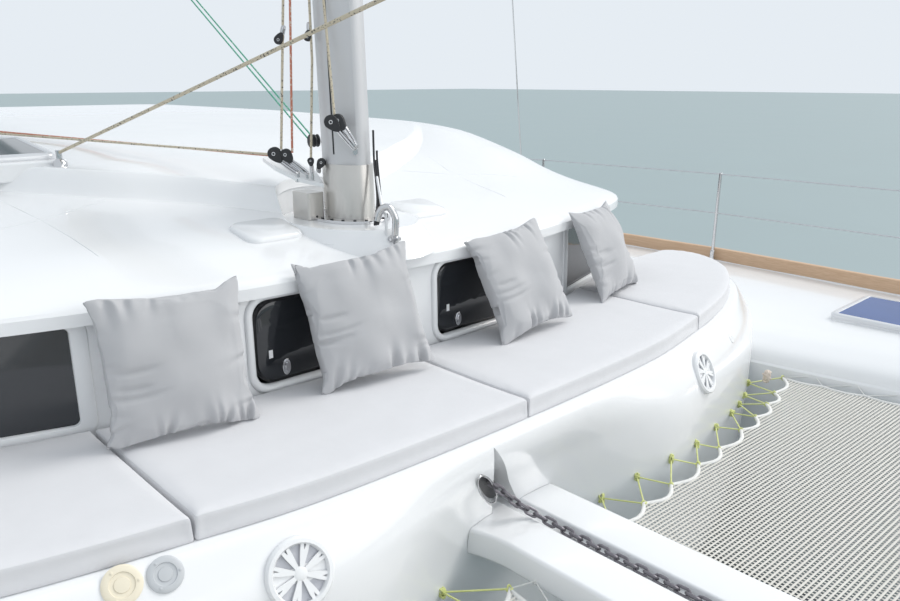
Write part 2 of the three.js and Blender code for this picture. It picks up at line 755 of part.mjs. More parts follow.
const HELM = { x: -1350, y: 2560, axleZ: 1780 };
const helmConsole = cut(
  join(
    block(HELM.x - 420, HELM.x + 420, BULKHEAD_Y + 50, HELM.y, FLOOR_Z + GAP, 2050),
    bar([HELM.x, HELM.y - 30, HELM.axleZ], [HELM.x, HELM.y + 60, HELM.axleZ], 55, 16),
  ),
  ...hullsWithGap,
);
place("helm_console", helmConsole, GELCOAT);
const WHEEL_Y = HELM.y + 90;
const WHEEL_R = 380;
function wheel() {
  const rim = new THREE.TorusGeometry(WHEEL_R, 14, 6, 28).rotateX(Math.PI / 2).translate(HELM.x, WHEEL_Y, HELM.axleZ);
  const spokes = Array.from({ length: 5 }, (_, i) => {
    const angle = (2 * Math.PI * i) / 5;
    const end = [HELM.x + WHEEL_R * Math.sin(angle), WHEEL_Y, HELM.axleZ + WHEEL_R * Math.cos(angle)];
    return bar([HELM.x, WHEEL_Y, HELM.axleZ], end, 9, 6);
  });
  const hub = bar([HELM.x, HELM.y + 60 + GAP, HELM.axleZ], [HELM.x, WHEEL_Y + 25, HELM.axleZ], 45, 16);
  return join(rim, hub, ...spokes);
}
place("steering_wheel", wheel(), STEEL);

// Rudders, saildrives and propellers
function rudder() {
  const rings = [
    [RUDDER.foot, 0.75],
    [-700, 0.95],
    [RUDDER.head, 1],
  ].map(([z, share]) => {
    const chord = RUDDER.chord * share;
    const ring = [];
    for (let i = 0; i < KEEL_SIDES; i++) {
      const angle = (2 * Math.PI * i) / KEEL_SIDES;
      const along = (1 - Math.cos(angle)) / 2;
      const thick = RUDDER.half * 2.6 * Math.sqrt(along) * (1 - along) * Math.sign(Math.sin(angle));
      const y = RUDDER.y - chord * 0.42 + chord * along;
      ring.push([HULL_X + (i === 0 ? 0 : thick), y, z]);
    }
    return ring;
  });
  const stock = bar(
    [HULL_X, RUDDER.y, RUDDER.head - 60],
    [HULL_X, RUDDER.y, RUDDER.bearing - 1],
    RUDDER.stock,
    16,
  );
  return join(loft(rings), stock);
}
const rudderPort = rudder();
place("rudder_port", rudderPort, GELCOAT);
place("rudder_starboard", mirrored(rudderPort), GELCOAT);

const DRIVE = { y: 3500, foot: -1000, axleZ: -920 };
function saildrive() {
  const rings = [
    [DRIVE.foot, 200, 22],
    [-700, 260, 34],
    [-440, 300, 40],
  ].map(([z, chord, half]) => {
    const ring = [];
    for (let i = 0; i < 12; i++) {
      const angle = (2 * Math.PI * i) / 12;
      ring.push([HULL_X + half * Math.sin(angle), DRIVE.y - (chord / 2) * Math.cos(angle), z]);
    }
    return ring;
  });
  const pod = bar([HULL_X, DRIVE.y - 190, DRIVE.axleZ], [HULL_X, DRIVE.y + 170, DRIVE.axleZ], 55, 14, 45);
  return cut(join(loft(rings), pod), shifted(hullPort, 0, 0, -GAP));
}
const drivePort = saildrive();
place("saildrive_port", drivePort, ALUMINIUM);
place("saildrive_starboard", mirrored(drivePort), ALUMINIUM);

function propeller() {
  const y0 = DRIVE.y + 170 + GAP;
  const hub = bar([HULL_X, y0, DRIVE.axleZ], [HULL_X, y0 + 110, DRIVE.axleZ], 44, 14, 30);
  const blades = Array.from({ length: 3 }, (_, i) => {
    const blade = new THREE.CylinderGeometry(70, 34, 200, 10);
    return blade
      .scale(1, 1, 0.09)
      .rotateY(Math.PI / 3)
      .translate(0, 125, 0)
      .rotateZ((2 * Math.PI * i) / 3)
      .rotateX(Math.PI / 2)
      .translate(HULL_X, y0 + 55, DRIVE.axleZ);
  });
  return join(hub, ...blades);
}
const propellerPort = propeller();
place("propeller_port", propellerPort, BRONZE);
place("propeller_starboard", mirrored(propellerPort), BRONZE);

// Forward crossbeam with its striker: a fork over the chain, and two stays down to the beam's ends
const CROSSBEAM_R = 90;
const CROSSBEAM_Z = 1640;
const STRIKER_Z = CROSSBEAM_Z + 620;
const FORK_X = 95;
const crossEnd = deckInner(CROSSBEAM_Y) + 40;
const strikerHalf = (s) => [
  bar([s * FORK_X, CROSSBEAM_Y, CROSSBEAM_Z + 60], [0, CROSSBEAM_Y, STRIKER_Z], 22, 10),
  bar([s * (crossEnd - 250), CROSSBEAM_Y, CROSSBEAM_Z + 60], [0, CROSSBEAM_Y, STRIKER_Z - 30], 11, 8),
];
const crossbeam = cut(
  join(
    bar([-crossEnd, CROSSBEAM_Y, CROSSBEAM_Z], [crossEnd, CROSSBEAM_Y, CROSSBEAM_Z], CROSSBEAM_R, 20),
    ...strikerHalf(1),
    ...strikerHalf(-1),
    block(-45, 45, CROSSBEAM_Y - 45, CROSSBEAM_Y + 45, STRIKER_Z - 45, STRIKER_Z + 15),
  ),
  ...hullsWithGap,
);
place("crossbeam", crossbeam, ALUMINIUM);

// Centre beam with the chain groove
const BEAM_HALF = 208;
const GROOVE_HALF = 32;
const BEAM_FOOT_Z = 1480;
const BEAM_FRONT_Y = CROSSBEAM_Y + CROSSBEAM_R + GAP;
function centreBeam() {
  const section = new THREE.Shape();
  section.moveTo(-BEAM_HALF + 25, BEAM_FOOT_Z);
  section.lineTo(BEAM_HALF - 25, BEAM_FOOT_Z);
  section.quadraticCurveTo(BEAM_HALF, BEAM_FOOT_Z, BEAM_HALF, BEAM_FOOT_Z + 30);
  section.lineTo(BEAM_HALF, BEAM_Z - 60);
  section.quadraticCurveTo(BEAM_HALF, BEAM_Z, BEAM_HALF - 60, BEAM_Z);
  section.lineTo(GROOVE_HALF, BEAM_Z);
  section.lineTo(GROOVE_HALF, BEAM_Z - 45);
  section.lineTo(-GROOVE_HALF, BEAM_Z - 45);
  section.lineTo(-GROOVE_HALF, BEAM_Z);
  section.lineTo(-BEAM_HALF + 60, BEAM_Z);
  section.quadraticCurveTo(-BEAM_HALF, BEAM_Z, -BEAM_HALF, BEAM_Z - 60);
  section.lineTo(-BEAM_HALF, BEAM_FOOT_Z + 30);
  section.quadraticCurveTo(-BEAM_HALF, BEAM_FOOT_Z, -BEAM_HALF + 25, BEAM_FOOT_Z);
  const long = NOTCH.valley[1] + 100 - BEAM_FRONT_Y;
  const beam = new THREE.ExtrudeGeometry(section, { depth: long, bevelEnabled: false, curveSegments: 4 })
    .rotateX(Math.PI / 2)
    .translate(BEAM_X, BEAM_FRONT_Y + long, 0);
  return cut(beam, shifted(moulding, 0, -GAP, 0), shifted(moulding, 0, 0, -GAP));
}
const beam = centreBeam();
place("centre_beam", beam, GELCOAT);

// Bow roller, anchor and chain
const ROLLER_Y = CROSSBEAM_Y - CROSSBEAM_R - GAP;
function anchorRoller() {
  const cheek = (x) => block(x - 6, x + 6, ROLLER_Y - 330, ROLLER_Y, CROSSBEAM_Z - 60, CROSSBEAM_Z + 90);
  const base = block(BEAM_X - 46, BEAM_X + 46, ROLLER_Y - 60, ROLLER_Y, CROSSBEAM_Z - 60, CROSSBEAM_Z - 40);
  const drum = bar(
    [BEAM_X - 46, ROLLER_Y - 260, CROSSBEAM_Z - 10],
    [BEAM_X + 46, ROLLER_Y - 260, CROSSBEAM_Z - 10],
    38,
    14,
  );
  return join(cheek(BEAM_X - 46), cheek(BEAM_X + 46), base, drum);
}
place("anchor_roller", anchorRoller(), STEEL);

const CHAIN_R = 16;
const CHAIN_Z = BEAM_Z - 45 + CHAIN_R + GAP;
const ANCHOR_Z = CROSSBEAM_Z - 10 + 38 + 18 + GAP;
function anchor() {
  const shank = block(BEAM_X - 12, BEAM_X + 12, ROLLER_Y - 620, ROLLER_Y - 40, ANCHOR_Z - 18, ANCHOR_Z + 18);
  const fluke = new THREE.Shape();
  fluke.moveTo(0, -210);
  fluke.lineTo(230, 160);
  fluke.lineTo(60, 120);
  fluke.lineTo(-60, 120);
  fluke.lineTo(-230, 160);
  fluke.lineTo(0, -210);
  const plate = new THREE.ExtrudeGeometry(fluke, { depth: 18, bevelEnabled: false })
    .rotateX(-0.95)
    .translate(BEAM_X, ROLLER_Y - 600, ANCHOR_Z - 160);
  const arm = bar(
    [BEAM_X, ROLLER_Y - 600, ANCHOR_Z],
    [BEAM_X, ROLLER_Y - 600, ANCHOR_Z - 170],
    20,
    10,
  );
  return join(shank, plate, arm);
}
place("anchor", anchor(), STEEL);

// The chain as a bar of round stock: from the anchor, over the crossbeam and along the groove into the notch
const OVER_BEAM = CROSSBEAM_R + CHAIN_R + 3;
const chainPath = [
  [BEAM_X, ROLLER_Y - 40 + GAP, ANCHOR_Z],
  ...[-0.6, -0.2, 0.2, 0.6].map((angle) => [
    BEAM_X,
    CROSSBEAM_Y + OVER_BEAM * Math.sin(angle),
    CROSSBEAM_Z + OVER_BEAM * Math.cos(angle),
  ]),
  [BEAM_X, BEAM_FRONT_Y + 200, CHAIN_Z + 60],
  [BEAM_X, BEAM_FRONT_Y + 600, CHAIN_Z],
  [BEAM_X, -2200, CHAIN_Z],
  [BEAM_X - 1, -2060, CHAIN_Z + 4],
  [BEAM_X - 15, -1900, CHAIN_Z + 47],
  [BEAM_X - 42, -1765, CHAIN_Z + 91],
  [BEAM_X - 46, -1720, CHAIN_Z + 100],
];
const chainRings = chainPath.map(([x, y, z]) =>
  Array.from({ length: 8 }, (_, i) => {
    const angle = (2 * Math.PI * i) / 8;
    return [x + CHAIN_R * Math.cos(angle), y, z + CHAIN_R * Math.sin(angle)];
  }),
);
place("anchor_chain", cut(loft(chainRings), shifted(moulding, 0, -GAP, 0)), CHAIN);

// Trampolines between the hulls, the crossbeam, the centre beam and the front moulding
const NET_THICK = 8;
const NET_EDGE = 35; // gap to the hull
const NET_LACED = 65; // gap to the centre beam, the crossbeam and the moulding
const NET_ROWS = 9;
const NET_COLUMNS = 6;
const LACING = 100; // length of a lacing bar, which is cut off at what it is tied to
const mouldingFront = seatFront(-45, 145);
const netAft = (x) => between(mouldingFront, Math.min(x, 1950)) - NET_LACED;
const NET_FRONT_Y = CROSSBEAM_Y + CROSSBEAM_R + NET_LACED;
const netOuter = (y) => deckInner(Math.min(y, -1900)) - NET_EDGE;

function trampoline(side) {
  const inner = side * BEAM_X + BEAM_HALF + NET_LACED;
  const long = netAft(inner) - NET_FRONT_Y;
  const surface = (z) => (u, v) => {
    const x = inner + u * (netOuter(NET_FRONT_Y + v * long) - inner);
    return [x, NET_FRONT_Y + v * (netAft(x) - NET_FRONT_Y), z];
  };
  const spaced = (count) => Array.from({ length: count + 1 }, (_, i) => i / count);
  const net = slab(spaced(NET_COLUMNS), spaced(NET_ROWS), surface(NET_Z), surface(NET_Z - NET_THICK));
  const middle = surface(NET_Z - NET_THICK / 2);
  const lacing = (u, v, stepX, stepY) => {
    const from = middle(u, v);
    const start = [from[0] - stepX * 0.1, from[1] - stepY * 0.1, from[2]];
    return bar(start, [from[0] + stepX, from[1] + stepY, from[2]], 3, 4);
  };
  const bars = [0.2, 0.5, 0.8].flatMap((share) => [
    lacing(0, share, -LACING, 0),
    lacing(1, share, LACING, 0),
    lacing(share, 0, 0, -LACING),
    lacing(share, 1, 0, LACING),
  ]);
  const shape = join(net, ...bars);
  const placed = side > 0 ? shape : mirrored(shape);
  return cut(
    placed,
    ...hullsWithGap,
    shifted(moulding, 0, -GAP, 0),
    shifted(crossbeam, 0, GAP, 0),
    shifted(beam, side * GAP, 0, 0),
  );
}
place("trampoline_port", trampoline(1), NET);
place("trampoline_starboard", trampoline(-1), NET);

// Teak toe rails along the outer deck edges
const RAIL_YS = [-6100, -5600, -4800, -3800, -2800, -1800, -600, 1000, 2600, 4000, 5300];
function toeRail() {
  const rings = RAIL_YS.map((y) => {
    const x = deckOuter(y) - 28;
    const z = deckZ(y) - 8;
    return [
      [x - 22, y, z - 60],
      [x + 22, y, z - 60],
      [x + 22, y, z + 30],
      [x + 12, y, z + 38],
      [x - 12, y, z + 38],
      [x - 22, y, z + 30],
    ];
  });
  return cut(loft(rings), shifted(hullPort, 0, 0, GAP), shifted(hullPort, GAP, 0, 0));
}
const toeRailPort = toeRail();
place("toe_rail_port", toeRailPort, TEAK);
place("toe_rail_starboard", mirrored(toeRailPort), TEAK);

// Guardrails: stanchions joined by two lifelines
const STANCHION_YS = [-4100, -2400, -560, 1200, 2700, 4100, 5250];
const STANCHION = 620;
const railX = (y) => deckOuter(y) - 90;
function guardrail() {
  const stands = STANCHION_YS.map((y) => {
    const foot = [railX(y), y, deckZ(y) - 80];
    const top = [railX(y) + 15, y, deckZ(y) + STANCHION];
    return [bar(foot, top, 12.5, 6), bar([foot[0], y, foot[2] + 20], [foot[0], y, foot[2] + 65], 30, 8)];
  }).flat();
  const lines = [1, 0.52].map((share) =>
    loft(
      STANCHION_YS.map((y) => {
        const [x, z] = [railX(y) + 15 * share, deckZ(y) + STANCHION * share - 12];
        return [[x - 5, y, z], [x, y, z + 5], [x + 5, y, z], [x, y, z - 5]];
      }),
    ),
  );
  return cut(join(...stands, ...lines), shifted(hullPort, 0, 0, GAP));
}
const guardPort = guardrail();
place("guardrail_port", guardPort, STEEL);
place("guardrail_starboard", mirrored(guardPort), STEEL);

// Pulpits at the bows
function pulpit() {
  const y0 = -6280;
  const high = deckZ(y0) + 600;
  const foot = (x, y) => [x, y, deckZ(y) - 80];
  const rail = pipe(
    [
      foot(railX(-4700), -4700),
      [railX(-4700), -4760, high - 60],
      [railX(-5200), -5250, high],
      [HULL_X + 150, -6150, high],
      [HULL_X, y0 - 60, high],
      [HULL_X - 150, -6150, high],
      [deckInner(-5350) + 110, -5350, high],
      [deckInner(-5300) + 130, -5270, deckZ(-5270) - 200],
    ],
    12.5,
    36,
    6,
  );
  const legs = [
    bar(foot(HULL_X + 95, -6050), [HULL_X + 150, -6150, high], 12.5, 6),
    bar(foot(HULL_X - 95, -6050), [HULL_X - 150, -6150, high], 12.5, 6),
    bar(foot(railX(-5300), -5300), [railX(-5250), -5290, high], 12.5, 6),
  ];
  return cut(join(rail, ...legs), shifted(hullPort, 0, 0, GAP));
}
const pulpitPort = pulpit();
place("pulpit_port", pulpitPort, STEEL);
place("pulpit_starboard", mirrored(pulpitPort), STEEL);

// Hatch lids, each hinged along its front edge
const LID = 26;
function lid({ x, y, halfX, halfY }, z, inset) {
  const leaf = block(x - halfX, x + halfX, y - halfY, y + halfY, z + GAP, z + LID);
  if (!inset) return leaf;
  const [ix, iy] = [halfX - inset, halfY - inset];
  return cut(leaf, block(x - ix, x + ix, y - iy, y + iy, z + LID - 5, z + LID + 20));
}
const deckLid = lid(DECK_HATCH, hatchZ(DECK_HATCH), 45);
place("deck_hatch_port", deckLid, BLUE_GLASS);
place("deck_hatch_starboard", mirrored(deckLid), BLUE_GLASS);
const engineLid = lid(ENGINE_HATCH, hatchZ(ENGINE_HATCH), 0);
place("engine_hatch_port", engineLid, GELCOAT);
place("engine_hatch_starboard", mirrored(engineLid), GELCOAT);
const roofLid = lid({ x: 0, y: 0, halfX: ROOF_HATCH.half, halfY: ROOF_HATCH.half }, ROOF_HATCH.high, 40);
onRoof(roofLid);
place("roof_hatch", roofLid, GLASS);

// Mast with its collar, spreaders and the gooseneck's bracket
const MAST_HALF_X = 85;
const MAST_HALF_Y = 125;
const mastY = (z) => MAST_Y + (z - MAST_FOOT_Z) * MAST_RAKE;
const MAST_FOOT = MAST_FOOT_Z + 12;
const HOUND_Z = 14500;
const SPREADER_Z = 9200;
const TANG_X = 110;
function mastRing(z, share) {
  return Array.from({ length: 20 }, (_, i) => {
    const angle = (2 * Math.PI * i) / 20;
    return [MAST_HALF_X * share * Math.cos(angle), mastY(z) + MAST_HALF_Y * share * Math.sin(angle), z];
  });
}
const MAST_RINGS = [
  [MAST_FOOT + GAP, 1.03],
  [MAST_FOOT_Z + 225, 1.03],
  [MAST_FOOT_Z + 226, 1],
  [HOUND_Z, 1],
  [MAST_TOP_Z, 0.7],
];
const GOOSENECK_Y = mastY(BOOM_Z) + MAST_HALF_Y + 75;
function mast() {
  const spreader = (s) =>
    bar(
      [s * 40, mastY(SPREADER_Z) + 40, SPREADER_Z],
      [s * 1150, mastY(SPREADER_Z) + 480, SPREADER_Z + 40],
      34,
      8,
      20,
    );
  const plates = [-1, 1].map((s) =>
    block(-30, 30, mastY(BOOM_Z) + 80, GOOSENECK_Y + 30, BOOM_Z + s * 95 - 8, BOOM_Z + s * 95 + 8),
  );
  const pin = bar([0, GOOSENECK_Y, BOOM_Z - 100], [0, GOOSENECK_Y, BOOM_Z + 100], 12, 12);
  const [houndY, capY] = [mastY(HOUND_Z) + 20, mastY(MAST_TOP_Z)];
  const hounds = block(-TANG_X - 25, TANG_X + 25, houndY - 25, houndY + 25, HOUND_Z - 15, HOUND_Z + 15);
  const cap = block(-50, 50, capY - 110, capY + 110, MAST_TOP_Z - 10, MAST_TOP_Z + 12);
  const tube = loft(MAST_RINGS.map(([z, share]) => mastRing(z, share)));
  return join(tube, spreader(-1), spreader(1), hounds, pin, cap, ...plates);
}
const mastShape = mast();
place("mast", mastShape, ALUMINIUM);

// Mast step: flange plate on the plinth and a box behind it that carries the turning blocks
function mastStep() {
  const flange = [0, 1].map((k) => {
    const z = MAST_FOOT_Z + GAP + k * (12 - GAP);
    return Array.from({ length: 20 }, (_, i) => {
      const angle = (2 * Math.PI * i) / 20;
      return [150 * Math.cos(angle), MAST_Y + 190 * Math.sin(angle), z];
    });
  });
  const box = block(-170, -90, MAST_Y + 50, MAST_Y + 170, MAST_FOOT_Z + GAP, MAST_FOOT_Z + 110);
  return join(loft(flange), box);
}
place("mast_step", mastStep(), STEEL);

// Boom on the gooseneck's pin, with the sail bag above it
const BOOM_LONG = 4900;
const BOOM_RISE = 0.03;
function boomRings(reach) {
  return [60, BOOM_LONG].map((along) =>
    Array.from({ length: 16 }, (_, i) => {
      const angle = (2 * Math.PI * i) / 16;
      return [
        reach * 0.6 * Math.cos(angle),
        GOOSENECK_Y + along,
        BOOM_Z + along * BOOM_RISE + reach * Math.sin(angle),
      ];
    }),
  );
}
function boom() {
  const knuckle = bar([0, GOOSENECK_Y, BOOM_Z - 80], [0, GOOSENECK_Y, BOOM_Z + 80], 34, 16);
  const tongue = block(-20, 20, GOOSENECK_Y, GOOSENECK_Y + 90, BOOM_Z - 60, BOOM_Z + 60);
  const bore = bar([0, GOOSENECK_Y, BOOM_Z - 200], [0, GOOSENECK_Y, BOOM_Z + 200], 13, 24);
  return cut(join(loft(boomRings(125)), knuckle, tongue), bore);
}
place("boom", boom(), ALUMINIUM);

// Columns: distance along the boom, foot and top above the boom's middle line, half width
const BAG = [
  [260, 126, 760, 130],
  [700, 126, 640, 170],
  [2200, 126, 480, 165],
  [3900, 126, 330, 130],
  [4750, 126, 230, 80],
];
function sailBag() {
  const rings = BAG.map(([along, foot, top, half]) => {
    const y = GOOSENECK_Y + along;
    const z = BOOM_Z + along * BOOM_RISE;
    return [
      [-half * 0.45, y, z + foot],
      [half * 0.45, y, z + foot],
      [half, y, z + foot + (top - foot) * 0.35],
      [half * 0.75, y, z + foot + (top - foot) * 0.8],
      [half * 0.15, y, z + top],
      [-half * 0.15, y, z + top],
      [-half * 0.75, y, z + foot + (top - foot) * 0.8],
      [-half, y, z + foot + (top - foot) * 0.35],
    ];
  });
  return loft(rings);
}
place("sail_bag", sailBag(), BAG_CLOTH);

// Forestay with the furled headsail on its drum
function forestay() {
  const top = [0, mastY(HOUND_Z + 300) - MAST_HALF_Y * 0.9, HOUND_Z + 300];
  const foot = [0, CROSSBEAM_Y, STRIKER_Z];
  const at = (share) => foot.map((v, k) => v + (top[k] - v) * share);
  const stay = join(
    bar(at(0), at(1), 8, 8),
    bar(at(0.014), at(0.028), 90, 16),
    bar(at(0.03), at(0.3), 45, 10, 70),
    bar(at(0.2999), at(0.93), 70, 10, 30),
  );
  return cut(stay, shifted(crossbeam, 0, 0, GAP), shifted(mastShape, 0, -GAP, 0));
}
place("forestay", forestay(), SAILCLOTH);

// Shrouds to the chainplates on the hulls' outer decks
const CHAIN_PLATE_Y = 1350;
function shrouds() {
  const x = railX(CHAIN_PLATE_Y) - 50;
  const foot = [x, CHAIN_PLATE_Y, deckZ(CHAIN_PLATE_Y)];
  const top = [TANG_X, mastY(HOUND_Z) + 20, HOUND_Z];
  const at = (share) => foot.map((v, k) => v + (top[k] - v) * share);
  const wire = bar(at(0), top, 6, 6);
  const screw = bar(at(0.012), at(0.045), 14, 8);
  const plate = block(
    x - 9,
    x + 9,
    CHAIN_PLATE_Y - 35,
    CHAIN_PLATE_Y + 35,
    deckZ(CHAIN_PLATE_Y) - 100,
    deckZ(CHAIN_PLATE_Y) + 40,
  );
  return cut(join(wire, screw, plate), shifted(hullPort, 0, 0, GAP), shifted(mastShape, 0, 0, -GAP));
}
const shroudPort = shrouds();
place("shroud_port", shroudPort, STEEL);
place("shroud_starboard", mirrored(shroudPort), STEEL);

// The sunbed's cushions. Columns: inner and outer end
const CUSHION_ENDS = [
  [-2560, -1180],
  [-1180, 0],
  [0, 1320],
  [1320, 2560],
];
const SEAM = 3;
// Columns: height above the ledge, inset
const CUSHION_RINGS = [
  [GAP, 8],
  [10, 0],
  [CUSHION - 10, 0],
  [CUSHION, 9],
];
const cushionRear = (x) => Math.min(between(WALL_PLAN, Math.abs(x)) - 8, SEAT_PLAN.at(-1)[1]);
function cushion([from, to]) {
  const flip = to <= 0 ? -1 : 1;
  const [near, far] = flip < 0 ? [-to, -from] : [from, to];
  const end = far > 2500;
  const rings = CUSHION_RINGS.map(([height, inset]) => {
    const x0 = near + SEAM + inset;
    const x1 = end ? 2420 : far - SEAM - inset;
    const middle = SEAT_PLAN.filter(([x], i) => x > x0 + 40 && (end || x < x1 - 40) && i > 0);
    const line = [[x0, between(SEAT_PLAN.slice(0, 10), x0)], ...middle];
    if (!end) line.push([x1, between(SEAT_PLAN.slice(0, 10), x1)]);
    const front = line.map(([x, y], i) => {
      const [nx, ny] = outwardOf(line, Math.max(i, 1));
      return i === 0 || (!end && i === line.length - 1) ? [x, y + inset] : [x - nx * inset, y - ny * inset];
    });
    const rearEnd = end ? 2300 : x1;
    const rear = front.map((_, i) => {
      const x = x0 + ((rearEnd - x0) * i) / (front.length - 1);
      return [x, cushionRear(x) - inset];
    });
    return [...front, ...rear.reverse()].map(([x, y]) => [x, y, SEAT_Z + height]);
  });
  const shape = loft(rings, "ladder");
  return flip < 0 ? mirrored(shape) : shape;
}
CUSHION_ENDS.forEach((ends, i) => place("cushion_" + (i + 1), cushion(ends), CUSHION_CLOTH));

// Square pillows leaning towards the window wall.
// Columns: middle of the lower edge, turn about the vertical, turn in their own plane, lean, size
const PILLOWS = [
  [-985, -1353, -10, 0, 12.8, 460],
  [-296, -1412, -10, -4.4, 19, 460],
  [552, -1446, 0, -4.7, 26, 480],
  [1381, -1292, 14, 0.6, 25, 480],
];
const PILLOW_THICK = 100;
const PILLOW_EDGE = 10;
const PILLOW_STEPS = [-1, -0.9, -0.65, -0.3, 0, 0.3, 0.65, 0.9, 1];
function pillow([x, y, turn, roll, lean, size]) {
  const face = (side) => (u, v) => {
    const swell = ((1 - u * u) * (1 - v * v)) ** 0.4;
    const half = (PILLOW_EDGE + (PILLOW_THICK - PILLOW_EDGE) * swell) / 2;
    return [(u * size) / 2, side * half, (v * size) / 2];
  };
  const radians = THREE.MathUtils.degToRad;
  const tilt = radians(roll);
  const high = (size / 2) * (Math.cos(tilt) + Math.abs(Math.sin(tilt)));
  return slab(PILLOW_STEPS, PILLOW_STEPS, face(-1), face(1))
    .rotateY(tilt)
    .translate(0, 0, high)
    .rotateX(-radians(lean))
    .rotateZ(radians(turn))
    .translate(x, y, CUSHION_Z + (PILLOW_EDGE / 2) * Math.sin(radians(lean)) + GAP);
}
PILLOWS.forEach((row, i) => place("pillow_" + (i + 1), pillow(row), PILLOW_CLOTH));

export default boat;
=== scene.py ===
# Cruising sailing catamaran, 13 m long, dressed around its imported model.
# Metres, +Z up, bows towards -Y, port towards +X, z = 0 at the waterline.
import math
import random

import bmesh
import bpy
from mathutils import Matrix, Vector, noise


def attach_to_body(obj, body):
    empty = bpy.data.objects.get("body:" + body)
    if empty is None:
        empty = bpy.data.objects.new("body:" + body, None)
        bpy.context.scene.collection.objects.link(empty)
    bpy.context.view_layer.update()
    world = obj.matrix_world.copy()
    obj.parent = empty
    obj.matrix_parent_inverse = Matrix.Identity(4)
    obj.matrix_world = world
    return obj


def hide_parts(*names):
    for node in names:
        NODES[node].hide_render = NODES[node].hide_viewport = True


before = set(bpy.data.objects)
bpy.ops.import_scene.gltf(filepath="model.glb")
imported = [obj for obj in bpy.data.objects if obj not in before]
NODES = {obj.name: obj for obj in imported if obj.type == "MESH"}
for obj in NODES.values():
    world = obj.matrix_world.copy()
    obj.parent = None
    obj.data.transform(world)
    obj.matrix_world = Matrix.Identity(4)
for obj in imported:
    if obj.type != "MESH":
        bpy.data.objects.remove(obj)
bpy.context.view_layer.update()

# Camera: a standing person's view over the starboard net, towards the port bow of the sunbed
CAMERA_AT = (-1.90, -3.50, 3.05)
CAMERA_PITCH = 15.8
CAMERA_YAW = 43.3
CAMERA_LENS = 31.2
camera_data = bpy.data.cameras.new("camera")
camera_data.lens = CAMERA_LENS
camera_data.sensor_width = 36
camera_data.clip_start = 0.05
camera = bpy.data.objects.new("camera", camera_data)
camera.location = CAMERA_AT
camera.rotation_euler = (math.radians(90 - CAMERA_PITCH), 0, math.radians(-CAMERA_YAW))
bpy.context.scene.collection.objects.link(camera)
bpy.context.scene.camera = camera

# Studio: grey-green floor at the waterline, an even bright sky, a soft key from port, a low fill from ahead
SKY = (0.88, 0.94, 1.0)
SKY_STRENGTH = 0.9
LIGHTS = {"key": (1.8, 28, (48, 0, 72)), "fill": (0.85, 60, (84, 0, 24))}
FLOOR_HALF = 200
bpy.context.scene.view_settings.view_transform = "Standard"
world = bpy.data.worlds.new("studio")
world.use_nodes = True
background = world.node_tree.nodes["Background"]
background.inputs["Color"].default_value = (*SKY, 1)
background.inputs["Strength"].default_value = SKY_STRENGTH
bpy.context.scene.world = world
for lamp, (strength, spread, turned) in LIGHTS.items():
    sun_data = bpy.data.lights.new(lamp, "SUN")
    sun_data.energy = strength
    sun_data.angle = math.radians(spread)
    sun_data.color = (1.0, 0.97, 0.93)
    sun = bpy.data.objects.new(lamp, sun_data)
    sun.rotation_euler = [math.radians(angle) for angle in turned]
    bpy.context.scene.collection.objects.link(sun)


def new_object(name, verts, faces):
    data = bpy.data.meshes.new(name)
    data.from_pydata(verts, [], faces)
    made = bpy.data.objects.new(name, data)
    bpy.context.scene.collection.objects.link(made)
    return made


# A shader node's inputs are given as values, or as outputs of other nodes
def feed(made, node, inputs):
    for name, value in inputs.items():
        if isinstance(value, bpy.types.NodeSocket):
            made.node_tree.links.new(value, node.inputs[name])
        else:
            node.inputs[name].default_value = value


def shader_node(made, kind, inputs, **settings):
    node = made.node_tree.nodes.new("ShaderNode" + kind)
    for name, value in settings.items():
        setattr(node, name, value)
    feed(made, node, inputs)
    return node


def shader_of(made):
    return made.node_tree.nodes["Principled BSDF"]


def base_of(made):
    return shader_of(made).inputs["Base Color"].links[0].from_socket


def noise_in(made, scale, detail=None, stretch=None):
    place = shader_node(made, "TexCoord", {}).outputs["Object"]
    if stretch:
        place = shader_node(made, "Mapping", {"Scale": stretch, "Vector": place}).outputs["Vector"]
    node = shader_node(made, "TexNoise", {"Scale": scale, "Vector": place})
    if detail:
        feed(made, node, {"Detail": detail})
    return node.outputs["Fac"]


def mixed(made, share, low, high):
    colors = {"A": low, "B": high}
    for name, color in colors.items():
        if not isinstance(color, bpy.types.NodeSocket):
            colors[name] = (*color, 1)
    return shader_node(made, "Mix", {"Factor": share, **colors}, data_type="RGBA").outputs["Result"]


def bump(made, height, strength, distance):
    return shader_node(made, "Bump", {"Strength": strength, "Distance": distance, "Height": height})


# A surface: base colour with faint cloudy variation, roughness that varies with it, fine grain in relief
def surface(
    name, color, roughness, metallic=0.0, cloud=0.03, cloud_scale=2.0, grain=0.0, grain_scale=400.0,
    **sockets,
):
    made = bpy.data.materials.new(name)
    made.use_nodes = True
    clouds = noise_in(made, cloud_scale, 5)
    dark, pale = [part * (1 - cloud) for part in color], [min(1, part * (1 + cloud)) for part in color]
    spread = shader_node(
        made, "MapRange", {"To Min": roughness * 0.85, "To Max": min(1, roughness * 1.15), "Value": clouds}
    )
    feed(
        made, shader_of(made),
        {
            "Metallic": metallic, "Base Color": mixed(made, clouds, dark, pale),
            "Roughness": spread.outputs["Result"],
        },
    )
    feed(made, shader_of(made), {socket.replace("_", " "): value for socket, value in sockets.items()})
    if grain:
        relief = bump(made, noise_in(made, grain_scale, 3), grain, 0.002)
        feed(made, shader_of(made), {"Normal": relief.outputs["Normal"]})
    return made


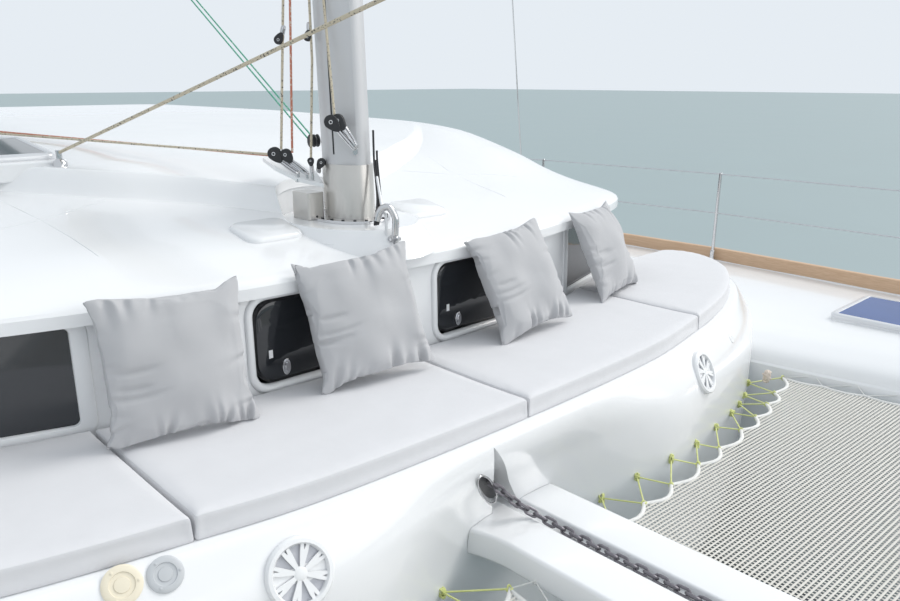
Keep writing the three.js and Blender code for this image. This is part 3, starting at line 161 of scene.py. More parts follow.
floor_material = surface("floor_paint", (0.3, 0.37, 0.38), 0.6, cloud=0.05, cloud_scale=0.3)
floor_corners = [(x * FLOOR_HALF, y * FLOOR_HALF, 0) for x, y in ((-1, -1), (1, -1), (1, 1), (-1, 1))]
floor = new_object("floor", floor_corners, [(0, 1, 2, 3)])
floor.data.materials.append(floor_material)

# Hulls: glass fibre laminate with white gelcoat, each moulded in one piece from the bow to the stern steps.
# Dark antifouling paint covers them below the waterline, with a grey boot stripe above it.
LENGTH = 13.0
HULL_X = 2.92
NET_Z = 1.5
# Place along the hull, half width at the waterline, depth of the keel line, reach of the deck
# inboard and outboard, height of the outer deck edge
HULL = [
    (-6.5, 0.02, 0.12, 0.06, 0.06, 1.9),
    (-6.42, 0.055, 0.26, 0.12, 0.12, 1.895),
    (-6.0, 0.14, 0.4, 0.28, 0.27, 1.875),
    (-5.3, 0.27, 0.52, 0.44, 0.43, 1.85),
    (-4.3, 0.4, 0.6, 0.57, 0.57, 1.82),
    (-3.3, 0.5, 0.65, 0.65, 0.67, 1.79),
    (-2.4, 0.57, 0.675, 0.69, 0.72, 1.765),
    (-1.7, 0.61, 0.69, 0.78, 0.77, 1.755),
    (-0.6, 0.64, 0.7, 0.83, 0.86, 1.75),
    (1.2, 0.67, 0.7, 0.85, 0.87, 1.73),
    (3.0, 0.66, 0.62, 0.85, 0.86, 1.7),
    (4.7, 0.6, 0.45, 0.82, 0.84, 1.67),
    (6.5, 0.53, 0.17, 0.78, 0.78, 1.64),
]
SHOULDER = [(0.3, 0.69), (0.15, 0.585), (0.055, 0.45), (0.015, 0.26)]
DECK_MIDDLE = 0.73
DECK_SIDE = 0.76
STERN_STEPS = [(5.35, 1.25), (5.72, 0.85), (6.09, 0.42)]


# A smooth value between table rows: columns are interpolated with a curve through the rows
def along(table, place):
    last = len(table) - 1
    if place <= table[0][0]:
        return list(table[0][1:])
    if place >= table[last][0]:
        return list(table[last][1:])
    k = max(i for i in range(last) if table[i][0] <= place)
    rows = [table[min(max(k + step, 0), last)] for step in (-1, 0, 1, 2)]
    span = rows[2][0] - rows[1][0]
    share = (place - rows[1][0]) / span
    values = []
    for a, b, c, d in zip(*[row[1:] for row in rows]):
        before = (c - a) / max(rows[2][0] - rows[0][0], 1e-9) * span
        after = (d - b) / max(rows[3][0] - rows[1][0], 1e-9) * span
        if (c - b) * (b - a) <= 0:
            before = 0
        if (d - c) * (c - b) <= 0:
            after = 0
        s2, s3 = share**2, share**3
        values.append(
            b * (2 * s3 - 3 * s2 + 1)
            + before * (s3 - 2 * s2 + share)
            + c * (3 * s2 - 2 * s3)
            + after * (s3 - s2)
        )
    return values


# Angles all round
def circle(count):
    return [2 * math.pi * k / count for k in range(count)]


# A curve through points, with the same number of steps between each pair
def curve(points, steps, closed=False):
    count = len(points)
    line = []
    for k in range(count if closed else count - 1):
        near = [points[(k + s) % count if closed else min(max(k + s, 0), count - 1)] for s in (-1, 0, 1, 2)]
        a, b, c, d = [Vector(p) for p in near]
        for i in range(steps):
            t = i / steps
            line.append(0.5 * (
                2 * b + (c - a) * t
                + (2 * a - 5 * b + 4 * c - d) * t * t
                + (3 * b - a - 3 * c + d) * t**3
            ))
    if not closed:
        line.append(Vector(points[-1]))
    return line


# A skin over rings of equal length, closed at both ends
def skin(rings, ends=True, around=True):
    count = len(rings[0])
    verts = [tuple(point) for ring in rings for point in ring]
    faces = []
    for r in range(len(rings) - 1):
        for i in range(count if around else count - 1):
            a, b = r * count + i, r * count + (i + 1) % count
            faces.append((a, b, b + count, a + count))
    if ends:
        faces.append(tuple(range(count)))
        faces.append(tuple(range(len(verts) - count, len(verts))))
    return verts, faces


# One piece from several skins: doubles merged, faces turned outwards, smooth up to the given angle
def piece(name, skins, material, angle=32):
    shape = bmesh.new()
    for verts, faces in skins:
        made = [shape.verts.new(point) for point in verts]
        for face in faces:
            corners = [made[i] for i in face]
            if len(set(corners)) > 2:
                shape.faces.new(corners)
    bmesh.ops.remove_doubles(shape, verts=shape.verts, dist=1e-5)
    bmesh.ops.recalc_face_normals(shape, faces=shape.faces)
    made = new_object(name, [], [])
    shape.to_mesh(made.data)
    shape.free()
    shade(made, angle)
    made.data.materials.append(material)
    return made


def shade(made, angle):
    for face in made.data.polygons:
        face.use_smooth = True
    made.data.set_sharp_from_angle(angle=math.radians(angle))


# A piece is fixed to its body, in place of the model's own pieces
def fit(made, finish, *nodes, body="boat"):
    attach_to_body(made, body)
    if nodes:
        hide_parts(*nodes)
    return made


def add(name, skins, material, finish, *nodes, angle=40, body="boat"):
    return fit(piece(name, skins, material, angle), finish, *nodes, body=body)


def mirror(skins):
    return [([(-x, y, z) for x, y, z in verts], faces) for verts, faces in skins]


# What the modifiers make of a piece, as its plain mesh
def settle(made):
    evaluated = made.evaluated_get(bpy.context.evaluated_depsgraph_get())
    old = made.data
    made.data = bpy.data.meshes.new_from_object(evaluated)
    made.modifiers.clear()
    bpy.data.meshes.remove(old)


def combine(made, tool, operation):
    joining = made.modifiers.new("combine", "BOOLEAN")
    joining.operation = operation
    joining.solver = "EXACT"
    joining.object = tool
    settle(made)
    bpy.data.objects.remove(tool)


def carve(made, skins):
    combine(made, piece("cutter", skins, made.data.materials[0]), "DIFFERENCE")


def slab_box(x0, x1, y0, y1, z0, z1):
    verts = [(x, y, z) for x in (x0, x1) for y in (y0, y1) for z in (z0, z1)]
    return verts, [(0, 1, 3, 2), (4, 6, 7, 5), (0, 4, 5, 1), (2, 3, 7, 6), (0, 2, 6, 4), (1, 5, 7, 3)]


def hull_ring(y):
    waterline, depth, inner, outer, deck = along(HULL, y)
    shoulder = min(1, inner / 0.6)

    def rise(share):
        return deck - (1 - share) * (deck - NET_Z + 0.03) * shoulder

    ring = [(outer, deck - 0.025 * shoulder)]
    ring.append((outer * 0.97 + waterline * 0.03, deck * 0.62))
    ring.append((outer * 0.5 + waterline * 0.5, deck * 0.22))
    for i in range(13):
        angle = math.pi * i / 12
        wide = math.copysign(abs(math.cos(angle)) ** 0.8, math.cos(angle))
        ring.append((waterline * wide, -depth * max(0, math.sin(angle)) ** 0.85))
    ring.append((-waterline * 0.6 - inner * 0.4, deck * 0.22))
    ring.append((-waterline * 0.05 - inner * 0.95, deck * 0.5))
    ring.append((-inner, NET_Z - 0.03))
    for inset, share in reversed(SHOULDER):
        ring.append((-inner + inset * shoulder, rise(share)))
    ring.append((0, rise(DECK_MIDDLE)))
    ring.append((outer - 0.06 * shoulder, rise(DECK_SIDE)))
    return curve([(HULL_X + x, y, z) for x, z in ring], 3)


STATIONS = sorted(
    {round(a + (b - a) * i / 6, 4) for (a, *_), (b, *_) in zip(HULL, HULL[1:]) for i in range(7)}
)
hull_skin = [skin([hull_ring(y) for y in STATIONS])]
step_cuts = [slab_box(HULL_X - 0.9, HULL_X + 0.9, y, LENGTH / 2 + 0.05, z, 2.0) for y, z in STERN_STEPS]
gelcoat = surface("gelcoat", (0.83, 0.84, 0.85), 0.22, cloud=0.012, Coat_Weight=0.6, Coat_Roughness=0.08)


# Hull paint by height: antifouling, boot stripe, then gelcoat
def hull_paint():
    made = surface(
        "hull_gelcoat", (0.83, 0.84, 0.85), 0.22, cloud=0.012, Coat_Weight=0.5, Coat_Roughness=0.08
    )
    paint = base_of(made)
    place = shader_node(made, "TexCoord", {}).outputs["Object"]
    height = shader_node(made, "SeparateXYZ", {"Vector": place}).outputs["Z"]
    for level, color in ((0.16, (0.33, 0.35, 0.38)), (0.06, (0.03, 0.045, 0.075))):
        below = shader_node(made, "Math", {0: height, 1: level}, operation="LESS_THAN").outputs["Value"]
        paint = mixed(made, below, paint, color)
    feed(made, shader_of(made), {"Base Color": paint})
    return made


hull_material = hull_paint()


def as_made(skins):
    return skins


SIDES = (("port", 1, as_made), ("starboard", -1, mirror))
for word, sign, turn in SIDES:
    hull = piece("hull_shell_" + word, turn(hull_skin), hull_material)
    for step in step_cuts:
        carve(hull, turn([step]))
    shade(hull, 32)
    fit(hull, "gelcoat", "hull_" + word)

# Keels, rudders and saildrives: laminate blades and cast legs bolted under the hulls, coated with the
# same antifouling; three-bladed bronze propellers turn on the saildrives' shafts.
KEEL = [(-1.28, -1.0, 0.95, 0.095), (-0.9, -1.08, 1.12, 0.105), (-0.56, -1.15, 1.25, 0.11)]
RUDDER_Y = 5.35
RUDDER = [(-1.15, 5.2145, 5.537, 0.036), (-0.7, 5.178, 5.587, 0.036), (-0.398, 5.169, 5.599, 0.036)]
DRIVE = [(-1.0, 3.4, 3.6, 0.022), (-0.7, 3.37, 3.63, 0.034), (-0.44, 3.35, 3.65, 0.04)]
AXLE_Y = 3.67
AXLE_Z = -0.92
FOIL_STEPS = 18


def foil(rows):
    rings = []
    low, high = rows[0][0], rows[-1][0]
    for k in range(FOIL_STEPS + 1):
        z = low + (high - low) * k / FOIL_STEPS
        front, rear, half = along(rows, z)
        tip = min(1, (k + 0.35) / 2.2) ** 0.5
        ring = []
        for i, angle in enumerate(circle(40)):
            share = (1 - math.cos(angle)) / 2
            thick = half * 2.6 * math.sqrt(share) * (1 - share) * math.copysign(1, math.sin(angle)) * tip
            ring.append((HULL_X + (thick if i else 0), front + (rear - front) * share, z))
        rings.append(ring)
    return skin(rings)


# A turned body: rings of the given radii along the line from start to end
def turned(start, end, profile, sides=32):
    start, end = Vector(start), Vector(end)
    way = (end - start).to_track_quat("Z", "Y")
    rings = []
    for share, radius in profile:
        point = start.lerp(end, share)
        rings.append(
            [
                tuple(point + way @ Vector((radius * math.cos(a), radius * math.sin(a), 0)))
                for a in circle(sides)
            ]
        )
    return skin(rings)


# A round bar or cone between two points
def rod(start, end, radius, sides=16, end_radius=None):
    return turned(start, end, [(0, radius), (1, end_radius or radius)], sides)


def blade(turn_angle):
    rings = []
    for k in range(9):
        share = k / 8
        out = 0.03 + 0.185 * share
        half = 0.018 + 0.052 * math.sin(math.pi * min(share * 0.8 + 0.12, 1))
        pitch = math.radians(68 - 40 * share)
        ring = []
        for angle in circle(14):
            u, v = half * math.cos(angle), 0.005 * math.sin(angle)
            x, y = u * math.cos(pitch) - v * math.sin(pitch), u * math.sin(pitch) + v * math.cos(pitch)
            spin = Matrix.Rotation(turn_angle, 3, "Y")
            point = spin @ Vector((x, y, out))
            ring.append((HULL_X + point.x, AXLE_Y + 0.055 + point.y, AXLE_Z + point.z))
        rings.append(ring)
    return skin(rings)


antifouling = surface("antifouling", (0.03, 0.045, 0.075), 0.7, cloud=0.15, grain=0.3, grain_scale=250)
cast_alloy = surface("cast_alloy", (0.42, 0.43, 0.45), 0.45, 0.7, cloud=0.06, grain=0.2, grain_scale=300)
bronze = surface("bronze", (0.5, 0.32, 0.14), 0.3, 1.0, cloud=0.12, cloud_scale=20)
POD_PROFILE = [(0, 0.01), (0.04, 0.032), (0.15, 0.05), (0.4, 0.056), (0.8, 0.05), (1, 0.045)]
HUB_PROFILE = [(0, 0.044), (0.6, 0.042), (0.85, 0.032), (0.97, 0.016), (1, 0.004)]
for word, sign, turn in SIDES:
    keel = piece("keel_blade_" + word, turn([foil(KEEL)]), antifouling)
    fit(keel, "gelcoat", "keel_" + word)
    stock = rod((HULL_X, RUDDER_Y, -0.44), (HULL_X, RUDDER_Y, -0.231), 0.024, 24)
    rudder = piece("rudder_leaf_" + word, turn([foil(RUDDER), stock]), antifouling)
    fit(rudder, "gelcoat", "rudder_" + word, body="rudder_blade_" + word)
    pod = turned((HULL_X, 3.31, AXLE_Z), (HULL_X, AXLE_Y, AXLE_Z), POD_PROFILE)
    drive = piece("drive_leg_" + word, turn([foil(DRIVE), pod]), cast_alloy)
    fit(drive, "aluminium", "saildrive_" + word)
    hub = turned((HULL_X, AXLE_Y + 0.0003, AXLE_Z), (HULL_X, AXLE_Y + 0.1103, AXLE_Z), HUB_PROFILE)
    blades = [blade(angle) for angle in circle(3)]
    screw = piece("screw_blades_" + word, turn([hub, *blades]), bronze)
    fit(screw, "bronze", "propeller_" + word, body="screw_" + word)


# Bridgedeck: the flat moulded slab that joins the hulls under the saloon and the cockpit.
def smooth_copy(node, name, material, finish, angle=32, body="boat"):
    shape = bmesh.new()
    shape.from_mesh(NODES[node].data)
    bmesh.ops.remove_doubles(shape, verts=shape.verts, dist=2e-5)
    bmesh.ops.dissolve_degenerate(shape, edges=shape.edges, dist=1e-5)
    made = new_object(name, [], [])
    shape.to_mesh(made.data)
    shape.free()
    shade(made, angle)
    made.data.materials.append(material)
    return fit(made, finish, node, body=body)


smooth_copy("bridgedeck", "bridgedeck_slab", gelcoat, "gelcoat")

# Front moulding: one curved laminate shell from hull to hull that carries the sunbed on its ledge.
# Its face rolls out below the cushions, and a notch lets the anchor chain in above the centre beam.
SEAT_Z = 1.925
SEAT_PLAN = [
    (0, -1.88), (0.45, -1.873), (0.87, -1.85), (1.2, -1.795), (1.5, -1.735), (1.75, -1.665), (1.95, -1.59),
    (2.15, -1.49), (2.33, -1.37), (2.46, -1.23), (2.53, -1.09), (2.54, -0.98), (2.5, -0.89), (2.42, -0.86),
]
WALL_PLAN = [
    (0, -1.21), (0.35, -1.207), (0.7, -1.19), (1.17, -1.1), (1.6, -0.97), (1.85, -0.87), (1.98, -0.77),
    (2.06, -0.64), (2.1, -0.45),
]
# Depth below the ledge, reach in front of the plan curve on the centreline and at the sides
MOULDING = [
    (0, 0.025, 0.025), (0.004, 0.037, 0.038), (0.012, 0.045, 0.048), (0.045, 0.05, 0.072),
    (0.115, 0.035, 0.115),
    (0.21, -0.005, 0.14), (0.33, -0.035, 0.145), (0.425, -0.045, 0.145), (0.545, -0.045, 0.14),
    (1.0047, -0.045, 0.12),
]
NOTCH = [(-0.276, -1.986, 1.99), (0.026, -1.649, 1.53), (0.06, -2.08, 1.53), (-0.33, -2.08, 1.53)]
seat_half = [(x, y, 0) for x, y in SEAT_PLAN]
seat_line = curve([(-x, y, 0) for x, y, _ in reversed(seat_half[1:])] + seat_half, 5)


def step_between(value, low, high):
    share = min(1, max(0, (value - low) / (high - low)))
    return share * share * (3 - 2 * share)


# A frame at a point: its X axis across, its Z axis out
def frame_on(point, across, out):
    made = Matrix((across, out.cross(across), out)).transposed().to_4x4()
    made.translation = point
    return made


# A point of the moulding's face: place along the plan curve, height
def moulding_point(s, z):
    k = min(max(int(s), 0), len(seat_line) - 2)
    here = seat_line[k].lerp(seat_line[k + 1], s - k)
    step = seat_line[min(k + 2, len(seat_line) - 1)] - seat_line[max(k - 1, 0)]
    outward = Vector((step.y, -step.x, 0)).normalized()
    middle, side = along(MOULDING, SEAT_Z - z)
    reach = middle + (side - middle) * step_between(abs(here.x), 0.1, 0.9)
    return Vector((here.x + outward.x * reach, here.y + outward.y * reach, z))


# The face's frame at a distance from the centreline and a height: along it, up it, out of it
def moulding_frame(x, z):
    s = min(
        range(len(seat_line)), key=lambda k: abs(moulding_point(k, z).x - x) + (seat_line[k].y > -1.2) * 9
    )
    point = moulding_point(s, z)
    nearer = s + 1 if x > point.x else s - 1
    other = moulding_point(nearer, z)
    share = (x - point.x) / (other.x - point.x)
    place = s + (nearer - s) * share
    point = moulding_point(place, z)
    across = (moulding_point(place + 0.5, z) - moulding_point(place - 0.5, z)).normalized()
    rise = (moulding_point(place, z + 0.01) - moulding_point(place, z - 0.01)).normalized()
    out = across.cross(rise).normalized()
    return frame_on(point, across, out)


def rear_line(count):
    points = []
    for i in range(count):
        x = -2.42 + 4.84 * i / (count - 1)
        points.append((x, along(WALL_PLAN, min(abs(x), 2.05))[0] + 0.07))
    return points


DEPTHS = [0, 0.0015, 0.004, 0.008, 0.014, 0.022, 0.032, 0.045, 0.062, 0.085]
DEPTHS += [0.11 + 0.03 * k for k in range(12)] + [0.5, 0.56, 0.7, 1.0047]
face_rings = []
for depth in DEPTHS:
    z = SEAT_Z - depth
    front_points = [tuple(moulding_point(s, z)) for s in range(len(seat_line))]
    rear_points = [(x, y, z) for x, y in reversed(rear_line(len(seat_line)))]
    face_rings.append(front_points + rear_points)
seat_moulding = piece("front_moulding", [skin(face_rings)], gelcoat)
carve(seat_moulding, [(NOTCH, [(0, 1, 2), (0, 2, 3), (0, 3, 1), (1, 3, 2)])])
# The hawse slot: a long slanted hole beside the notch, cut on the slant so that it opens into it
HAWSE_PLACE = (-0.224, 1.745)
HAWSE_MIDDLE = Vector((0.016, -0.014, 0))
HAWSE_WIDE = Vector((0.04, -0.0067, 0))
HAWSE_LONG = Vector((-0.088, 0.109, 0))
HAWSE_WAY = Vector((0.72, 0.69, -0.08)).normalized()
hawse_frame = moulding_frame(*HAWSE_PLACE)


def oval(half_x, half_y, count=32):
    return [(half_x * math.cos(angle), half_y * math.sin(angle)) for angle in circle(count)]


def hawse_line(grow=0.0, lift=0.0):
    line = []
    for angle in circle(48):
        point = HAWSE_MIDDLE + (HAWSE_WIDE * math.cos(angle) + HAWSE_LONG * math.sin(angle)) * (1 + grow)
        line.append(hawse_frame @ (point + Vector((0, 0, lift))))
    return line


def hawse_rings(depths):
    return [[tuple(point + HAWSE_WAY * depth) for point in hawse_line()] for depth in depths]


carve(seat_moulding, [skin(hawse_rings((-0.08, 0.09)))])
shade(seat_moulding, 30)
fit(seat_moulding, "gelcoat", "seat_moulding")

# Hawse pipe in the notch: a polished oval steel ring round the hole where the chain comes out, and a black
# plug a little way down the hole that is painted shade for the pipe's dark inside
STEEL_COLOR = (0.62, 0.62, 0.63)
steel = surface("polished_steel", STEEL_COLOR, 0.14, 1.0, cloud=0.05, cloud_scale=12)
black_plastic = surface("black_plastic", (0.02, 0.021, 0.024), 0.42, cloud=0.1, grain=0.3, grain_scale=500)
white_plastic = surface("white_plastic", (0.8, 0.81, 0.82), 0.35, cloud=0.02, cloud_scale=8)


# A tube along a line of points, with its radius at each point, or the same all along
def tube(points, radius, sides=12, closed=False):
    points = [Vector(point) for point in points]
    count = len(points)
    rings = []
    side = None
    for k, point in enumerate(points):
        before = points[(k - 1) % count] if closed else points[max(k - 1, 0)]
        after = points[(k + 1) % count] if closed else points[min(k + 1, count - 1)]
        ahead = (after - before).normalized()
        if side is None:
            side = ahead.orthogonal().normalized()
        side = (side - ahead * side.dot(ahead)).normalized()
        up = ahead.cross(side)
        r = radius[k] if isinstance(radius, (list, tuple)) else radius
        rings.append(
            [
                tuple(point + (side * math.cos(a) + up * math.sin(a)) * r)
                for a in circle(sides)
            ]
        )
    if closed:
        verts, faces = skin(rings, ends=False)
        offset = (count - 1) * sides
        shift = min(range(sides), key=lambda i: (Vector(rings[-1][0]) - Vector(rings[0][i])).length)
        for i in range(sides):
            a, b = offset + i, offset + (i + 1) % sides
            faces.append((a, b, (i + 1 + shift) % sides, (i + shift) % sides))
        return verts, faces
    return skin(rings)


# A flat shape's outline, given a thickness along its own Z, set in a frame
def plate(outline, low, high, at=Matrix.Identity(4), bevel=0.0):
    levels = [(low, 0), (high, 0)]
    if bevel:
        levels = [(low, bevel), (low + bevel, 0), (high - bevel, 0), (high, bevel)]
    middle = Vector((sum(p[0] for p in outline), sum(p[1] for p in outline))) / len(outline)
    rings = []
    for z, inset in levels:
        ring = []
        for x, y in outline:
            away = Vector((x, y)) - middle
            near = away * (1 - inset / max(away.length, 1e-6))
            point = at @ Vector((middle.x + near.x, middle.y + near.y, z))
            ring.append(tuple(point))
        rings.append(ring)
    return skin(rings)


hawse_ring = tube(hawse_line(0.02, 0.001), 0.0036, 10, closed=True)
add("hawse_ring", [hawse_ring], steel, "steel", angle=32)
# Painted shade: a black plug closes the hole a little way in, so it reads as the pipe's dark inside
hawse_shade_plug = piece("hawse_throat", [skin(hawse_rings((0.034, 0.05)))], black_plastic)
fit(hawse_shade_plug, "steel")

# Cabin walls: a leaning laminate wall around the saloon, with the windows' openings moulded in.
smooth_copy("cabin_walls", "cabin_wall_shell", gelcoat, "gelcoat")
WALL_LEAN = 0.025 / 1.5
wall_corners = [*WALL_PLAN, (2.1, 2.3)]


# A point on the wall's outer face: across the boat, height, distance out of the face
def on_wall(x, z, out):
    place = min(abs(x), 2.0999)
    k = max(i for i in range(len(WALL_PLAN) - 1) if WALL_PLAN[i][0] <= place)
    share = (place - WALL_PLAN[k][0]) / (WALL_PLAN[k + 1][0] - WALL_PLAN[k][0])
    normals = []
    for i in (k, k + 1):
        (x0, y0), (x1, y1) = wall_corners[max(i - 1, 0)], wall_corners[i + 1]
        normals.append(Vector((0, -1)) if i == 0 else Vector((y1 - y0, x0 - x1)).normalized())
    outward = normals[0].lerp(normals[1], share).normalized()
    y = WALL_PLAN[k][1] * (1 - share) + WALL_PLAN[k + 1][1] * share
    shift = out - (z - 1.5) * WALL_LEAN
    return (math.copysign(place + outward.x * shift, x), y + outward.y * shift, z)


# The side wall's outer face, along the boat
def on_side(y, z, out):
    return (2.1 - (z - 1.5) * WALL_LEAN + out, y, z)


def rounded(x0, x1, z0, z1, radius, steps=8):
    outline = []
    for cx, cz, start in (
        (x1 - radius, z0 + radius, -90), (x1 - radius, z1 - radius, 0),
        (x0 + radius, z1 - radius, 90), (x0 + radius, z0 + radius, 180),
    ):
        for k in range(steps + 1):
            angle = math.radians(start + 90 * k / steps)
            outline.append((cx + radius * math.cos(angle), cz + radius * math.sin(angle)))
    spaced = []
    for k, (a, b) in enumerate(outline):
        c, d = outline[(k + 1) % len(outline)]
        count = max(1, int(math.hypot(c - a, d - b) / 0.06))
        spaced += [(a + (c - a) * i / count, b + (d - b) * i / count) for i in range(count)]
    return spaced


# A frame around an opening: a closed section of (growth, distance out), carried around the outline
def surround(outline_of, onto, section):
    return skin(
        [[onto(a, b, out) for a, b in outline_of(grow)] for grow, out in [*section, section[0]]], ends=False
    )


# Window frames: white moulded rims with a soft rounded face, bonded around the openings
RIM = [
    (-0.004, -0.02), (-0.004, 0.004), (0.0, 0.009), (0.007, 0.012), (0.016, 0.012), (0.023, 0.008),
    (0.026, 0.002), (0.026, -0.003), (0.01, -0.02),
]
WIDE_RIM = [
    (-0.006, -0.012), (-0.006, 0.0), (-0.003, 0.0045), (0.012, 0.006), (0.034, 0.006), (0.042, 0.004),
    (0.046, -0.002), (0.03, -0.012),
]
PORTLIGHT = (0.19, 0.65, 2.005, 2.325, 0.06)
FRONT_WINDOW = (1.2, 1.84, 2.005, 2.335, 0.025)
SIDE_WINDOW = (-0.25, 1.95, 2.02, 2.33, 0.06)


# A rounded outline as a function of its growth; big windows keep the point count of the plain one
def outline_maker(box):
    x0, x1, z0, z1, radius = box
    plain = rounded(x0, x1, z0, z1, radius)

    def grown(grow):
        points = []
        for x, z in plain:
            nearest_x = min(max(x, x0 + radius), x1 - radius)
            nearest_z = min(max(z, z0 + radius), z1 - radius)
            away = Vector((x - nearest_x, z - nearest_z))
            length = max(away.length, 1e-9)
            points.append((x + away.x / length * grow, z + away.y / length * grow))
        return points

    return grown


rim_white = surface("rim_white", (0.82, 0.83, 0.84), 0.3, cloud=0.015, Coat_Weight=0.3, Coat_Roughness=0.1)
smoked_glass = surface(
    "smoked_glass", (0.016, 0.018, 0.022), 0.06, cloud=0.15, cloud_scale=3, Coat_Weight=0.5
)
window_glass = surface(
    "window_glass", (0.03, 0.033, 0.038), 0.07, cloud=0.3, cloud_scale=1.5, Coat_Weight=0.4
)
for word, sign, turn in SIDES:
    rims = [
        surround(outline_maker(PORTLIGHT), on_wall, RIM),
        surround(outline_maker(FRONT_WINDOW), on_wall, WIDE_RIM),
    ]
    rims.append(surround(outline_maker(SIDE_WINDOW), on_side, WIDE_RIM))
    add("window_rims_" + word, turn(rims), rim_white, "gelcoat")
    smooth_copy("front_window_" + word, "front_glass_" + word, window_glass, "glass")
    smooth_copy("side_window_" + word, "side_glass_" + word, window_glass, "glass")

# Portlights: dark acrylic leaves in black frames, hinged at the top, with a chromed oval latch
# and a small white label plate on the glass.
LEAF = (0.196, 0.644, 2.011, 2.319, 0.082)
LEAF_Y = -1.176
leaf_black = surface("leaf_black", (0.012, 0.012, 0.014), 0.25, cloud=0.1, cloud_scale=10)
latch_chrome = surface("latch_chrome", (0.75, 0.75, 0.77), 0.1, 1.0, cloud=0.03, cloud_scale=30)


# A frame for something on a leaf, facing the bow
def facing_bow(x, y, z):
    made = Matrix(((1, 0, 0), (0, 0, -1), (0, 1, 0))).to_4x4()
    made.translation = (x, y, z)
    return made


for word, sign, turn in SIDES:
    body = "light_" + word
    smooth_copy("portlight_" + word, "portlight_leaf_" + word, leaf_black, "glass", body=body)
    pane_outline = outline_maker((LEAF[0] + 0.012, LEAF[1] - 0.012, LEAF[2] + 0.012, LEAF[3] - 0.012, 0.07))
    pane_rings = []
    for grow, out in ((0, 0.0), (0, 0.0035), (-0.004, 0.005), (-0.03, 0.0055)):
        pane_rings.append([(x, LEAF_Y - out, z) for x, z in pane_outline(grow)])
    add("portlight_pane_" + word, turn([skin(pane_rings)]), smoked_glass, "glass", body=body)
    at = facing_bow(0.427 - 0.096 * sign, LEAF_Y - 0.0052, 2.06)
    latch = [plate(oval(0.017, 0.03, 28), 0, 0.007, at, 0.002)]
    latch.append(plate(oval(0.009, 0.02, 28), 0.007, 0.012, at, 0.0025))
    add("portlight_latch_" + word, turn(latch), latch_chrome, "steel", body=body)
    at = facing_bow(0.427 - 0.155 * sign, LEAF_Y - 0.0052, 2.12)
    label = plate(
        [(-0.008, -0.015), (0.008, -0.015), (0.008, 0.015), (-0.008, 0.015)], 0, 0.002, at, 0.0008
    )
    add("portlight_label_" + word, turn([label]), white_plastic, "glass", body=body)

# Coachroof: a smooth cambered laminate shell over the saloon and cockpit. Its raised middle starts at
# a curved riser, and an oval plinth in a recess carries the mast.
ROOF_EDGE_Z = 2.39
ROOF_X = 2.15
ROOF_AFT_Y = 4.3
ROOF = 0.04
MAST_Y = -0.88
MAST_FOOT_Z = 2.5
# Distance aft of the front edge, rise near the centreline, rise near the sides
ROOF_RISE = [
    (0, -0.012, -0.012), (0.005, -0.002, -0.002), (0.015, 0.008, 0.008), (0.04, 0.02, 0.02),
    (0.13, 0.045, 0.045),
    (0.35, 0.095, 0.095), (0.55, 0.13, 0.155), (0.75, 0.165, 0.235), (1.05, 0.225, 0.325),
    (1.25, 0.245, 0.37),
    (1.6, 0.28, 0.4), (2.0, 0.3, 0.41), (2.7, 0.325, 0.42), (3.5, 0.34, 0.43), (5.2, 0.34, 0.43),
]
RISER_PLAN = [
    (0, -0.72), (0.17, -0.7), (0.32, -0.56), (0.48, -0.43), (0.61, -0.35), (0.75, -0.27), (0.9, -0.16),
    (1.0, -0.09), (1.3, 0.15), (1.6, 0.5), (2.15, 0.9),
]
RISER = 0.09
RISER_LONG = 0.06


def roof_front(x):
    return along(WALL_PLAN, abs(x) * 2.1 / ROOF_X)[0] - 0.015


def riser_foot(x):
    return along(RISER_PLAN, abs(x))[0]


def roof_z(x, y):
    across = math.sqrt(max(0, 1 - abs(x / ROOF_X) ** 10))
    side = step_between(abs(x), 1.0, 1.6)
    share = min(1, max(0, (y - riser_foot(x) + 0.012) / (RISER_LONG + 0.024)))
    raised = RISER * (share**2 * (3 - 2 * share) * 0.6 + share * 0.4)
    near, far = along(ROOF_RISE, y - roof_front(x))
    return ROOF_EDGE_Z + ((near + raised) * (1 - side) + far * side) * across


def roof_frame(x, y):
    level = Vector((x, y, roof_z(x, y)))
    across = (Vector((x + 0.02, y, roof_z(x + 0.02, y))) - level).normalized()
    back = (Vector((x, y + 0.02, roof_z(x, y + 0.02))) - level).normalized()
    out = across.cross(back).normalized()
    return frame_on(level, across, out)


roof_columns = [-math.sin(math.pi / 2 * (1 - k / 36)) for k in range(36)]
roof_columns = sorted({round(u, 5) for u in roof_columns} | {round(-u, 5) for u in roof_columns} | {0.0})
FRONT_STEPS = [0, 0.0001, 0.0003, 0.0007] + [((k + 0.5) / 22) ** 1.4 for k in range(22)]
RISER_STEPS = [-0.02, -0.012, -0.006, 0, 0.015, 0.03, 0.045, 0.06, 0.066, 0.072, 0.085]
REAR_STEPS = [(k / 34) ** 1.25 for k in range(1, 35)]


def roof_rows(x):
    front, foot = roof_front(x), riser_foot(x)
    rows = [front + share * (foot - 0.03 - front) for share in FRONT_STEPS]
    rows += [foot + step for step in RISER_STEPS]
    start = foot + RISER_STEPS[-1]
    return rows + [start + share * (ROOF_AFT_Y - start) for share in REAR_STEPS]


top_rings = []
for u in roof_columns:
    x = u * ROOF_X
    line = [(x, y, roof_z(x, y)) for y in roof_rows(x)]
    top_rings.append(line + [(x, y, z - ROOF) for x, y, z in reversed(line)])
roof = piece("roof_shell", [skin(top_rings)], gelcoat)
# Height of the plinth's and the recess's rings, half width, half length
PLINTH = [(2.39, 0.32, 0.4), (2.47, 0.27, 0.34), (2.5, 0.25, 0.32)]
RECESS = [(2.5, 0.25, 0.32), (2.6, 0.28, 0.35), (2.9, 0.3, 0.37)]


def oval_rings(table):
    return skin([[(x, MAST_Y + y, z) for x, y in oval(wide, long, 72)] for z, wide, long in table])


def attach(made, skins):
    combine(made, piece("addition", skins, made.data.materials[0]), "UNION")


